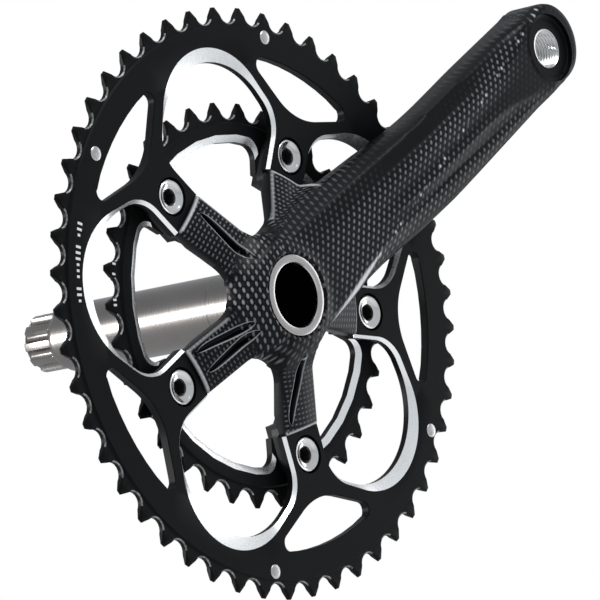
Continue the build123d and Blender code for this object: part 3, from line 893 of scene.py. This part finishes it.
def arm_reach(flat):
    """Distance along the nearest of the five spider arms."""
    return np.max([local_frame(flat, angle)[0] for angle in BOLT_ANGLES], axis=0)


def arm_curve(column, s):
    """One column of the arm's stations as a smooth curve."""
    return hermite(s, [row[0] for row in ARM_STATIONS], [row[column] for row in ARM_STATIONS])


def arm_section(s, t):
    """Drop of the arm's front and share of weave and painted tow highlight at a point of the arm."""
    stations = sorted(SECTIONS)
    table = np.array([SECTIONS[station] for station in stations], float)
    across, drop, weave = [np.stack([np.interp(s, stations, knot) for knot in table[:, :, column].T])
                           for column in range(3)]
    right = np.clip((across < t).sum(axis=0), 1, len(across) - 1)
    left = right - 1
    pick = np.arange(len(s))
    share = (t - across[left, pick]) / (across[right, pick] - across[left, pick])
    fall = drop[left, pick] + (drop[right, pick] - drop[left, pick]) * np.clip(share, 0, None)
    show = weave[left, pick] + (weave[right, pick] - weave[left, pick]) * np.clip(share, 0, 1)
    return fall, show


def crank_distance(flat):
    """Signed distance to the crank arm's outline, below 0 inside."""
    s, t = arm_frame(flat)
    side = np.maximum(-t - arm_curve(1, s), t - arm_curve(2, s))
    side = np.maximum(side, np.maximum(-s - 2, s - CRANK_LENGTH - 1))
    end = np.hypot(s - PEDAL_END_DISTANCE, t - PEDAL_END_SIDE) - PEDAL_END_RADIUS
    return smooth_min(side, end, 1.5)


def cover_distance(flat, angle):
    """Signed distance to one cover arm's outline."""
    s, t = local_frame(flat, angle)
    return np.maximum(np.maximum(np.abs(t) - TAB_HALF_WIDTH, s - SHOULDER_RADIUS), -s)


def hub_distance(flat):
    """Signed distance to the hub cover's outline."""
    return np.hypot(flat[:, 0], flat[:, 1]) - COVER_RADIUS


def spider_distance(flat):
    """Signed distance to the hub cover and the five cover arms together."""
    field = hub_distance(flat)
    for angle in BOLT_ANGLES:
        field = smooth_min(field, cover_distance(flat, angle), 6.5)
    return field


def body_distance(flat):
    """Signed distance to the whole moulding's outline."""
    return smooth_min(spider_distance(flat), crank_distance(flat), 5.0)


def groove_course(groove, along):
    """Middle and half width of a groove at distances from the axis."""
    _, near, far, half, _ = groove
    share = np.clip((along - GROOVE_START) / (GROOVE_END - GROOVE_START), 0, 1)
    taper = np.sqrt(np.clip(1 - (2 * share - 1) ** 4, 0, 1))
    return near + (far - near) * smooth_step(share, 0, 1), half * (1.2 - 0.45 * share) * taper


def beside_groove(groove, flat):
    """Distance from a groove's middle line, its half width there and whether the point is level with it."""
    along, across = local_frame(flat, BOLT_ANGLES[groove[0]])
    middle, half = groove_course(groove, along)
    return np.abs(across - middle), half, (along > GROOVE_START) & (along < GROOVE_END)


def groove_outline(groove, scale):
    """Closed outline of a groove, its half width multiplied by a scale."""
    along = np.linspace(GROOVE_START + 0.25, GROOVE_END - 0.25, 40)
    middle, half = groove_course(groove, along)
    s = np.concatenate((along, along[::-1]))
    t = np.concatenate((middle - half * scale, (middle + half * scale)[::-1]))
    return flat_from(s, t, BOLT_ANGLES[groove[0]])


def cover_top(flat, number):
    """Height of one cover arm's front, with its grooves and its crowned cross-section."""
    angle = BOLT_ANGLES[number]
    s, t = local_frame(flat, angle)
    slope = 3.1 + (SHOULDER_RADIUS - s) * 0.24
    lift = 5.5 * (1 - smooth_step(s, 14, 27))
    cut = np.zeros(len(flat))
    for groove in GROOVES:
        if groove[0] == number:
            off, half, _ = beside_groove(groove, flat)
            share = off / np.maximum(half, THINNEST)
            deep = groove[4] * (0.5 + 0.5 * (1 - smooth_step(s, 22, 40)))
            cut = np.maximum(cut, deep * (1 - smooth_step(share, 0.4, 1.0)))
    fall = 2.6 * np.maximum(cover_distance(flat, angle), 0)
    return slope + lift - 0.012 * t ** 2 - cut - fall


def crank_top(flat):
    """Height of the crank arm's front."""
    s, t = arm_frame(flat)
    drop = arm_section(s, t)[0]
    outside = np.maximum(np.maximum(-t - arm_curve(1, s), t - arm_curve(2, s)), 0)
    fall = 2.8 * outside + 3.0 * np.maximum(-s - 4, 0)
    return arm_curve(4, s) - drop - fall


def hub_top(flat):
    """Height of the hub cover's front."""
    reach = np.hypot(flat[:, 0], flat[:, 1])
    return COVER_TOP - 0.055 * np.maximum(reach - 14.5, 0) ** 2 - 1.6 * np.maximum(reach - 19.5, 0)


def body_top(flat):
    """Height of the moulding's front before its outer edge is rounded."""
    top = smooth_max(hub_top(flat), crank_top(flat), 2.0)
    for number in range(ARM_COUNT):
        top = smooth_max(top, cover_top(flat, number), 1.6)
    return top


def body_back(flat):
    """Height of the moulding's back."""
    s, _ = arm_frame(flat)
    low = np.interp(arm_reach(flat), [ROOT_DISTANCE, SLOPE_END], [ROOT_BACK, SLOPE_END_BACK])
    share = smooth_step(spider_distance(flat), -0.5, 1.5)
    return low + (arm_curve(3, s) - low) * share


def level_loops(field, xs, zs, level):
    """Closed outlines where a sampled field crosses a level."""
    low = field < level
    corner = low[:-1, :-1]
    mixed = (corner != low[1:, :-1]) | (corner != low[:-1, 1:]) | (corner != low[1:, 1:])
    links = {}
    for i, j in np.argwhere(mixed):
        corners = [(i, j), (i + 1, j), (i + 1, j + 1), (i, j + 1)]
        cuts = [(corners[e], corners[(e + 1) % 4]) for e in range(4)
                if low[corners[e]] != low[corners[(e + 1) % 4]]]
        keys = [tuple(sorted(cut)) for cut in cuts]
        for a, b in zip(keys[::2], keys[1::2]):
            links.setdefault(a, []).append(b)
            links.setdefault(b, []).append(a)

    def crossing(key):
        """Point of a grid edge where the field crosses the level."""
        (i0, j0), (i1, j1) = key
        share = (level - field[i0, j0]) / (field[i1, j1] - field[i0, j0])
        return (xs[i0] + (xs[i1] - xs[i0]) * share, zs[j0] + (zs[j1] - zs[j0]) * share)

    loops = []
    while links:
        start = next(iter(links))
        chain, here = [start], start
        while True:
            ahead = [key for key in links.pop(here) if key in links]
            if not ahead:
                break
            here = ahead[0]
            chain.append(here)
        loops.append(np.array([crossing(key) for key in chain]))
    return loops


def evenly(loop, spacing):
    """Closed outline resampled at an even spacing."""
    closed = np.vstack((loop, loop[:1]))
    length = np.concatenate(([0], np.cumsum(np.linalg.norm(np.diff(closed, axis=0), axis=1))))
    count = max(8, int(round(length[-1] / spacing)))
    spots = np.arange(count) * length[-1] / count
    return np.column_stack((np.interp(spots, length, closed[:, 0]), np.interp(spots, length, closed[:, 1])))


def edge_radius(flat):
    """Radius of the moulding's rounded outer edge: small on the cover arms, larger on the crank arm."""
    s, _ = arm_frame(flat)
    return 0.9 + 0.4 * smooth_step(s, 30, 60) + 0.9 * smooth_step(s, 160, 170)


def carbon_painted_highlight(flat, depth):
    """Share of painted highlight: a pale streak beside the crank arm's root and pale lines along the groove
    lips and the cover arms' ends and one side.
    """
    s, t = arm_frame(flat)
    slant = (STREAK_SIDES[1] - STREAK_SIDES[0]) / (STREAK_END - STREAK_START)
    line = STREAK_SIDES[0] + (s - STREAK_START) * slant
    width = 1.5 * smooth_step(STREAK_END - s, 0, 22) * smooth_step(s, 2, 12)
    streak = 0.8 * (1 - smooth_step(np.abs(t - line) / np.maximum(width, THINNEST), 0.35, 1.0))
    # Painted highlight lines along the groove lips and along the cover arms' ends and one side.
    lip_highlight = np.zeros(len(flat))
    for groove in GROOVES:
        off, half, level = beside_groove(groove, flat)
        edge = np.abs(off / np.maximum(half, THINNEST) - GROOVE_LIP)
        lip_highlight = np.maximum(lip_highlight, 0.4 * (1 - smooth_step(edge, 0.03, 0.2)) * level)
    for angle in BOLT_ANGLES:
        along, across = local_frame(flat, angle)
        near_rim = (depth > 0.1) & (depth < 0.9) & (np.abs(across) < TAB_HALF_WIDTH + 1)
        near_rim &= along < SHOULDER_RADIUS + 1
        on_end = along > SHOULDER_RADIUS - 1
        on_side = (along > 26) & (across * math.cos(math.radians(angle)) < 0)
        lip_highlight = np.maximum(lip_highlight, near_rim * np.maximum(0.5 * on_end, 0.2 * on_side))
    lip_highlight *= (s < 60) & (crank_distance(flat) > 0.0)
    return np.maximum(streak, lip_highlight)


def carbon_weave_and_highlight(flat, depth):
    """Share of the weave and of its painted tow highlights that shows at each point, following how brightly
    the tows glinted on each face.
    """
    s, t = arm_frame(flat)
    reach = np.hypot(flat[:, 0], flat[:, 1])
    crank = crank_distance(flat)
    on_crank = (crank < 0.5) & (reach > SEAM_RADIUS)
    hub = 0.75 + 1.1 * smooth_step(-flat[:, 0], 2, 14)
    cover = np.interp(flat[:, 1], [-30, 10], [0.6, 0.85])
    for groove in GROOVES:
        off, half, level = beside_groove(groove, flat)
        cover[(off < half * 0.95) & level] = 0.0
    cover = np.where(depth < 0.1, 0.0, cover)
    seam = 1 - 0.8 * np.exp(-((reach - SEAM_RADIUS) / 1.1) ** 2)
    at_crank = np.minimum(seam, smooth_step(np.abs(crank), 0.0, 1.6))
    seam = np.where((crank > -1.0) & (reach < 60), at_crank, seam)
    on_band = arm_section(s, t)[1] * (1 - 0.65 * smooth_step(-t, 12.5, 14.8) * smooth_step(s, 50, 70))
    share = np.where(on_crank, on_band, np.where(reach < SEAM_RADIUS, hub, cover) * seam)
    recess = np.hypot(*(flat - polar(CRANK_LENGTH, ARM_ANGLE)).T) < PEDAL_RING_RADIUS + 0.1
    return np.where(recess, 0.0, share)


def sampled(distance, xs, zs):
    """Grid points between sampling lines, and a distance at each of them as a table."""
    grid = np.stack(np.meshgrid(xs, zs, indexing="ij"), axis=-1).reshape(-1, 2)
    return grid, distance(grid).reshape(len(xs), len(zs))


def carbon_loose_points(grid, per_row, centre):
    """Staggered points that fill the moulding's front, clear of its rim, openings and grooves."""
    shifted = grid.copy()
    shifted[:, 0] += np.arange(len(grid)) % per_row % 2 * CARBON_SPACING / 2
    clear = body_distance(shifted) < -(RIM_DEPTHS[-1] + 0.5)
    clear &= np.hypot(*shifted.T) > FLANGE_RADIUS + 0.6
    from_pedal = np.hypot(*(shifted - centre).T)
    on_recess = (from_pedal < PEDAL_RING_RADIUS - 1.3) & (from_pedal > PEDAL_INSERT_RADIUS + 0.8)
    clear &= (from_pedal > PEDAL_RING_RADIUS + 0.5) | on_recess
    for groove in GROOVES:
        off, half, level = beside_groove(groove, shifted)
        clear &= ~((off < GROOVE_SCALES[-1] * half + 0.5) & level)
    return shifted[clear]


def carbon_flat_mesh(centre):
    """Triangles of the moulding seen from the front, with lines along its rim, recess and grooves."""
    margin = 4
    low = -SHOULDER_RADIUS - margin
    xs = np.arange(low, max(cad_box[1].x / MM + margin, CRANK_LENGTH * 0.8 + 20), CARBON_SPACING)
    zs = np.arange(low, max(cad_box[1].z / MM + margin, CRANK_LENGTH * 0.7 + 20), CARBON_SPACING)
    grid, field = sampled(body_distance, xs, zs)
    border = evenly(max(level_loops(field, xs, zs, 0.0), key=len), CARBON_SPACING)
    holes = [circle(FLANGE_RADIUS + 0.05, 96), circle(PEDAL_INSERT_RADIUS, 72, centre)]
    lines = [circle(PEDAL_RING_RADIUS - step, 96, centre) for step in (0, 0.15, 0.9)]
    lines.append(circle(PEDAL_INSERT_RADIUS + 0.35, 72, centre))
    for depth in RIM_DEPTHS:
        loops = level_loops(field, xs, zs, -depth)
        lines += [evenly(loop, CARBON_SPACING) for loop in loops if len(loop) > 30]
    lines += [groove_outline(groove, scale) for groove in GROOVES for scale in GROOVE_SCALES]
    return triangles_between(border, holes, lines, carbon_loose_points(grid, len(zs), centre))


def make_carbon_arm():
    """Carbon moulding: hub cover, five cover arms and crank arm, as one closed skin."""
    centre = polar(CRANK_LENGTH, ARM_ANGLE)
    flat, faces, owner = carbon_flat_mesh(centre)
    depth = np.maximum(-body_distance(flat), 0)
    depth[owner == 0] = 0
    radius = edge_radius(flat)
    short = np.clip(radius - depth, 0, None)
    top = body_top(flat) - radius + np.sqrt(np.maximum(radius ** 2 - short ** 2, 0))
    from_pedal = np.hypot(*(flat - centre).T)
    wall = smooth_step(from_pedal, PEDAL_RING_RADIUS - 0.2, PEDAL_RING_RADIUS - 0.02)
    recess = PEDAL_FACE - (1 - wall) * PEDAL_RING_DEPTH
    top = np.where(from_pedal < PEDAL_RING_RADIUS + 0.1, recess, top)
    top = np.where(owner == 1, COVER_TOP - 0.1, top)
    low = np.minimum(body_back(flat), top - 0.4)
    shape = closed_skin(flat, faces, top, low)
    nodes = ["spider_cover", "crank_arm", "pedal_end"]
    piece = make_piece("carbon_arm", shape, [carbon], 50, nodes)
    add_weave_map(piece.data, flat, top - low, carbon_weave_and_highlight(flat, depth), carbon_painted_highlight(flat, depth))


def cloth_maps(flat):
    """Weave coordinates of all points on each cloth: the crank arm's, the cover arms' and the hub's."""
    fallen = 0.9 * (COVER_TOP - body_top(flat))
    maps = [arm_frame(flat)]
    for angle in BOLT_ANGLES:
        along, across = local_frame(flat, angle)
        along = along + fallen
        maps.append(((along + across) * 0.85, (along - across) * 0.85))
    maps.append((flat[:, 1] * 0.8, flat[:, 0] * 1.1 - fallen))
    return np.array(maps)


def cloth_numbers(flat):
    """Number of the cloth that lies at each point."""
    covers = np.array([cover_distance(flat, angle) for angle in BOLT_ANGLES])
    reach = np.hypot(flat[:, 0], flat[:, 1])
    numbers = np.where((crank_distance(flat) < 0) | (reach < SEAM_RADIUS), 0, covers.argmin(axis=0) + 1)
    numbers[(reach < SEAM_RADIUS + 1) & (flat[:, 0] < -7)] = ARM_COUNT + 1
    return numbers


def add_weave_map(mesh, flat, wall, weave, painted_highlight):
    """Weave map in millimetres, one cloth per face, and at each front point the shares of weave with its
    painted tow highlights and of painted edge highlight.

    The mesh holds the flat points twice, front then back. The cloth runs on down the wall to the back.
    """
    count = len(flat)
    both = np.vstack((flat, flat))
    below = np.concatenate((np.zeros(count), wall))
    loops = np.zeros(len(mesh.loops), int)
    mesh.loops.foreach_get("vertex_index", loops)
    first = np.zeros(len(mesh.polygons), int)
    size = np.zeros(len(mesh.polygons), int)
    mesh.polygons.foreach_get("loop_start", first)
    mesh.polygons.foreach_get("loop_total", size)
    owner = np.repeat(cloth_numbers(both)[loops[first]], size)
    u, v = cloth_maps(both)[owner, :, loops].T
    v = v + np.sign(arm_frame(both)[1][loops]) * below[loops]
    layer = mesh.uv_layers.new(name="weave")
    layer.data.foreach_set("uv", np.column_stack((u, v)).astype(np.float32).ravel())
    for name, values in (("weave_and_highlight_share", weave), ("painted_highlight", painted_highlight)):
        attribute = mesh.attributes.new(name, "FLOAT", "POINT")
        attribute.data.foreach_set("value", np.concatenate((values, np.zeros(count))).astype(np.float32))


# ---------------------------------------------------------------- spider

SPIDER_HUB = 20.0


def spider_outline_distance(flat):
    """Signed distance to the forged spider's outline, with arms a little slimmer than their tabs."""
    field = np.hypot(flat[:, 0], flat[:, 1]) - SPIDER_HUB
    for angle in BOLT_ANGLES:
        s, t = local_frame(flat, angle)
        half = 7.4 + 0.8 * smooth_step(s, 42.5, 45.5)
        bar = np.maximum(np.abs(t) - half, -s)
        tab = np.where(s > BOLT_RADIUS, np.hypot(s - BOLT_RADIUS, t) - half, bar)
        field = smooth_min(field, tab, 8.0)
    return field


def make_spider():
    """Forged spider behind the moulding: hub, sloping arms, pads and five thin tabs."""
    spacing = 0.9
    xs = np.arange(-BOLT_RADIUS - 14, BOLT_RADIUS + 14, spacing)
    grid, field = sampled(spider_outline_distance, xs, xs)
    border = evenly(max(level_loops(field, xs, xs, 0.0), key=len), 1.0)
    inner = evenly(max(level_loops(field, xs, xs, -0.5), key=len), 1.0)
    holes = [circle(SPINDLE_RADIUS + 0.3, 64)]
    holes += [circle(SLEEVE_RADIUS, 32, polar(BOLT_RADIUS, angle)) for angle in BOLT_ANGLES]
    clear = (field.ravel() < -1.1) & (np.hypot(*grid.T) > SPINDLE_RADIUS + 1.2)
    for angle in BOLT_ANGLES:
        clear &= np.hypot(*(grid - polar(BOLT_RADIUS, angle)).T) > SLEEVE_RADIUS + 0.8

    def front(flat):
        """Height of the face that the moulding hides, then of the tabs' faces."""
        return np.interp(arm_reach(flat), [ROOT_DISTANCE, 44.0, 44.6, 45.4], [6.4, 0.8, 0.4, -1.9])

    def back(flat):
        """Height of the forging's back."""
        return np.interp(arm_reach(flat), [ROOT_DISTANCE, SLOPE_END, 43.0], [4.0, -1.9, -5.4])

    drops = [(0.4, 0.4)] + [(0.0, 0.0)] * len(holes)
    shape = plate(border, holes, front, back, drops, [inner], grid[clear])
    hub = [(12.6, 2.2), (SPIDER_HUB - 0.5, 2.2), (SPIDER_HUB, 2.7),
           (SPIDER_HUB, 7.0), (12.35, 7.0), (12.35, 2.5)]
    closed_lathe(shape, hub, segments=96)
    for angle in BOLT_ANGLES:
        add_pad(shape, angle, 42.0, 46.2, 7.6, -8.0, -2.2)
    make_piece("spider", shape, [forged], 35)


def add_pad(shape, angle, start, end, half, low, high):
    """Chamfered block across one arm of the spider."""
    edge = 0.6

    def corners(inset):
        """Block's outline, set in by a distance."""
        side, near, far = half - inset, start + inset, end - inset
        return [(-side, near), (side, near), (side, far), (-side, far)]

    rings = [(corners(edge), low), (corners(0), low + edge), (corners(0), high)]
    points = [(*p, height) for loop, height in rings for p in turned_points(loop, angle)]
    faces = [(0, 1, 2, 3), (8, 9, 10, 11)]
    for ring in (0, 4):
        faces += band_faces(ring, ring + 4, 4)
    shape.add(points, faces)


# ---------------------------------------------------------------- turned pieces

def hexagon(flats):
    """Radius of a hexagonal hole as a function of the angle."""
    def reach(turn):
        """Distance from the axis to the nearest flat."""
        side = (turn + math.pi / 6) % (math.pi / 3) - math.pi / 6
        return flats / 2 / math.cos(side)
    return reach


def make_bolts():
    """Polished chainring bolts with a dished head and a hexagon socket."""
    socket = hexagon(5.0)
    for number, angle in enumerate(BOLT_ANGLES):
        rings = [(0.1, -3.6), (socket, -3.6), (socket, 0.05), (3.05, 0.35), (3.5, 0.5),
                 (4.9, 1.05), (5.25, 1.32),
                 (5.6, 1.4), (5.85, 1.25), (6.0, 0.95),
                 (6.0, -0.3), (3.95, -0.3), (3.95, -6.9), (3.65, -7.2),
                 (0.1, -7.2)]
        paints = [1, 1, 1] + [0] * (len(rings) - 4)
        shape = lathe(Shape(), rings, polar(BOLT_RADIUS, angle), 60, paints=paints)
        make_piece(f"chainring_bolt_{number + 1}", shape, [bolt_steel, socket_dark], 28)


def socket_material():
    """Oily shadowed inside of a bolt's socket."""
    make = Nodes("socket_shadow")
    grime = make.noise(make.place(), 1800, 3)
    colour = make.mix(grime, grey(0.01), grey(0.05))
    return make.finish(colour, 0.45, make.bump(grime, 0.2, 0.00004), Metallic=0.6)


def make_pin(node, rings):
    """Turned steel pin where its CAD node stands."""
    low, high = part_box(node)
    centre = ((low.x + high.x) / 2 / MM, (low.z + high.z) / 2 / MM)
    make_piece(node, lathe(Shape(), rings, centre, 40), [pin_steel])


def make_shift_pins():
    """Riveted shift pins: domed front, shank and lifting head behind."""
    rings = [(0.1, 2.0), (1.2, 2.0), (1.6, 1.92), (2.3, 1.75),
             (2.5, 1.55), (1.5, 1.5), (1.5, -1.9), (2.5, -1.95),
             (2.5, -2.5), (2.2, -2.8), (0.1, -2.8)]
    for number in range(4):
        make_pin(f"shift_pin_{number + 1}", rings)


def make_drop_pin():
    """Pin behind the crank arm that keeps a dropped chain off it."""
    make_pin("chain_drop_pin", [(0.1, 5.6), (2.2, 5.6), (2.8, 5.0), (2.8, 1.5), (2.0, 1.5), (2.0, -1.7),
                                (1.8, -1.9), (0.1, -1.9)])


def make_pedal_insert():
    """Threaded bush: plain outside and a real helical thread inside."""
    centre = polar(CRANK_LENGTH, ARM_ANGLE)
    back, front = PEDAL_BACK, PEDAL_FACE - PEDAL_RING_DEPTH
    per_turn = 8
    threaded = front - back - 1.3
    count = int(threaded / PEDAL_THREAD_PITCH * per_turn)

    def thread(height):
        """Radius of the thread at a height, as a function of the angle."""
        def reach(turn):
            """Distance from the axis to the thread's surface."""
            phase = (height / PEDAL_THREAD_PITCH + turn / (2 * math.pi)) % 1.0
            return PEDAL_THREAD_RADIUS - PEDAL_THREAD_DEPTH * (1 - abs(2 * phase - 1))
        return reach

    rings = [(PEDAL_INSERT_RADIUS, front), (PEDAL_THREAD_RADIUS + 0.2, front),
             (PEDAL_THREAD_RADIUS, front - 0.2)]
    for step in range(count + 1):
        height = front - 0.3 - threaded * step / count
        rings.append((thread(height), height))
    rings += [(8.0, back), (PEDAL_INSERT_RADIUS - 0.4, back), (PEDAL_INSERT_RADIUS, back + 0.4)]
    paints = [1] + [0] * (len(rings) - 1)
    shape = closed_lathe(Shape(), rings, centre=centre, segments=72, paints=paints)
    make_piece("pedal_insert", shape, [insert_alloy, anodised], 24)


def make_spindle():
    """Ground hollow spindle with its end flange and splined left end."""
    shoulder = TEETH_Y - mounts["spindle"]["dims"]["length_mm"] / 2
    end = TEETH_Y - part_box("spindle")[1].y / MM
    groove = 1.75

    def spline(depth, radius=SPLINE_RADIUS):
        """Splined radius as a function of the angle, for a share of the groove's full depth."""
        def reach(turn):
            """Distance from the axis to the spline's surface."""
            step = 2 * math.pi / SPLINE_COUNT
            side = (turn + step / 2) % step - step / 2
            across = abs(side) * radius
            cut = math.sqrt(max(groove ** 2 - across ** 2, 0)) * 0.85
            return radius - min(cut, 1.5) * depth
        return reach

    rings = [
        (SPINDLE_BORE, end + 0.5), (SPINDLE_BORE + 0.4, end), (spline(0.8, SPLINE_RADIUS - 0.7), end),
        (spline(1.0, SPLINE_RADIUS - 0.2), end + 0.5),
        (spline(1.0), end + 0.9), (spline(1.0), shoulder - 4.6),
        (spline(0.85), shoulder - 3.8), (spline(0.45), shoulder - 3.1), (spline(0.0), shoulder - 2.7),
        (11.2, shoulder - 1.2), (11.3, shoulder - 0.5),
        (11.7, shoulder - 0.2), (SPINDLE_RADIUS, shoulder + 0.1),
    ]
    # Faint steps at the ends of the two bearing seats
    for seat in (13.4, 75.4):
        for cut, height in ((0, 0), (0.07, 0.12), (0.07, 0.42), (0, 0.54)):
            rings.append((SPINDLE_RADIUS - cut, shoulder + seat + height))
    rings += [
        (SPINDLE_RADIUS, -2.9), (12.3, -2.6), (12.3, 11.0),
        (FLANGE_RADIUS, 11.0), (FLANGE_RADIUS, FLANGE_HEIGHT - 0.6),
        (FLANGE_RADIUS - 0.18, FLANGE_HEIGHT - 0.2), (FLANGE_RADIUS - 0.6, FLANGE_HEIGHT),
        (FLANGE_BORE + 0.7, FLANGE_HEIGHT), (FLANGE_BORE + 0.25, FLANGE_HEIGHT - 0.15),
        (FLANGE_BORE, FLANGE_HEIGHT - 0.6), (FLANGE_BORE, 12.0), (SPINDLE_BORE, 10.0),
    ]
    paints = [1 if ring[1] >= 10.0 else 0 for ring in rings]
    shape = closed_lathe(Shape(), rings, segments=200, paints=paints)
    make_piece("spindle", shape, [spindle_steel, flange_steel], 28)


def make_spindle_plug():
    """Black bung inside the flange, with a lip and a dished face."""
    rings = [(0.1, 12.9), (4.0, 12.9), (8.6, 13.1), (9.7, 13.5), (9.95, 14.2), (10.3, 14.5), (10.9, 14.5),
             (FLANGE_BORE, 14.2), (FLANGE_BORE, 12.2), (0.1, 12.2)]
    shape = lathe(Shape(), rings, segments=72)
    make_piece("spindle_plug", shape, [rubber])


def make_arm_core():
    """Foam core inside the crank arm, a rounded bar that tapers with it."""
    stations = np.linspace(33, 132, 34)
    side_wall, back_wall, front_wall, rounding = 5.5, 2.2, 5.2, 2.2
    shape = Shape()
    for s in stations:
        left, right, low, high = [arm_curve(column, np.array([s]))[0] for column in (1, 2, 3, 4)]
        left, right = side_wall - left, right - side_wall
        low, high = low + back_wall, high - front_wall
        ring = rounded([(left, low), (right, low), (right, high), (left, high)], [rounding] * 4, 0.9)
        across, height = ring.T
        shape.points += [tuple(p) for p in np.column_stack((flat_from(s, across, ARM_ANGLE), height))]
    count = len(ring)
    last = (len(stations) - 1) * count
    for row in range(0, last, count):
        shape.faces += band_faces(row, row + count, count)
    shape.faces += [list(range(count)), list(range(last, last + count))]
    shape.paint = [0] * len(shape.faces)
    make_piece("arm_core", shape, [foam])


def dress_nuts():
    """Polished steel on the sleeve nuts, which keep their CAD meshes."""
    for number in range(ARM_COUNT):
        mesh = frame["nodes"][f"chainring_nut_{number + 1}"].data
        mesh.materials.clear()
        mesh.materials.append(bolt_steel)


socket_dark = socket_material()
make_outer_chainring()
make_inner_chainring()
make_carbon_arm()
make_spider()
make_bolts()
make_shift_pins()
make_drop_pin()
make_pedal_insert()
make_spindle()
make_spindle_plug()
make_arm_core()
dress_nuts()


# ---------------------------------------------------------------- studio

FLOOR_DROP = 0.34
FLOOR_REACH = 6.0
CAMERA_AZIMUTH = -48.206
CAMERA_ELEVATION = -12.36
CAMERA_DISTANCE = 1.41133
CAMERA_LENS = 243.72
AIM_FORWARD = 0.0192
AIM_UP = 0.0037


def stand_off(item, target, azimuth, elevation, distance):
    """Stand an object off from a target and turn its -Z axis to it; azimuth 0 is in front, at -Y."""
    a, e = math.radians(azimuth), math.radians(elevation)
    back = Vector((math.sin(a) * math.cos(e), -math.cos(a) * math.cos(e), math.sin(e)))
    item.location = target + back * distance
    item.rotation_mode = "QUATERNION"
    item.rotation_quaternion = (-back).to_track_quat("-Z", "Y")


def make_floor():
    """Wide pale floor well below the object, which the camera looks up at."""
    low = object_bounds()[0].z - FLOOR_DROP
    work = bmesh.new()
    bmesh.ops.create_grid(work, x_segments=8, y_segments=8, size=FLOOR_REACH)
    mesh = bpy.data.meshes.new("floor")
    work.to_mesh(mesh)
    work.free()
    mesh.materials.append(floor_material())
    floor = add_object("floor", mesh)
    floor.location = (0, 0, low)


def make_camera():
    """Camera at the chosen angle, aimed at a point of the outer ring's plane near the spindle."""
    data = bpy.data.cameras.new("camera")
    data.lens = CAMERA_LENS
    data.clip_start, data.clip_end = 0.1, 50
    camera = add_object("camera", data)
    target = Vector((AIM_FORWARD, TEETH_Y * MM, AIM_UP))
    stand_off(camera, target, CAMERA_AZIMUTH, CAMERA_ELEVATION, CAMERA_DISTANCE)
    bpy.context.scene.camera = camera


def add_light(name, azimuth, elevation, distance, width, height, power, spread=180):
    """Soft rectangular light facing the frame's origin."""
    data = bpy.data.lights.new(name, "AREA")
    data.shape = "RECTANGLE"
    data.size, data.size_y = width, height
    data.energy = power
    data.spread = math.radians(spread)
    stand_off(add_object(name, data), Vector((0, 0, 0)), azimuth, elevation, distance)


def make_world():
    """White backdrop for the camera and a softer surround for reflections."""
    world = bpy.data.worlds.new("studio")
    world.use_nodes = True
    tree = world.node_tree
    surround = tree.nodes["Background"]
    surround.inputs["Color"].default_value = (0.9, 0.95, 1.0, 1.0)
    surround.inputs["Strength"].default_value = 0.7
    backdrop = tree.nodes.new("ShaderNodeBackground")
    backdrop.inputs["Color"].default_value = (1.0, 1.0, 1.0, 1.0)
    backdrop.inputs["Strength"].default_value = 1.0
    path = tree.nodes.new("ShaderNodeLightPath")
    mix = tree.nodes.new("ShaderNodeMixShader")
    tree.links.new(path.outputs["Is Camera Ray"], mix.inputs["Fac"])
    tree.links.new(surround.outputs[0], mix.inputs[1])
    tree.links.new(backdrop.outputs[0], mix.inputs[2])
    tree.links.new(mix.outputs[0], tree.nodes["World Output"].inputs["Surface"])
    bpy.context.scene.world = world


make_floor()
make_camera()
make_world()
add_light("key", -20, 55, 1.4, 0.9, 0.6, 12)
add_light("left", -132, -9, 2.1, 1.7, 0.7, 17, 70)
add_light("right", 70, 10, 1.4, 0.5, 1.2, 4)
bpy.context.scene.view_settings.view_transform = "Standard"
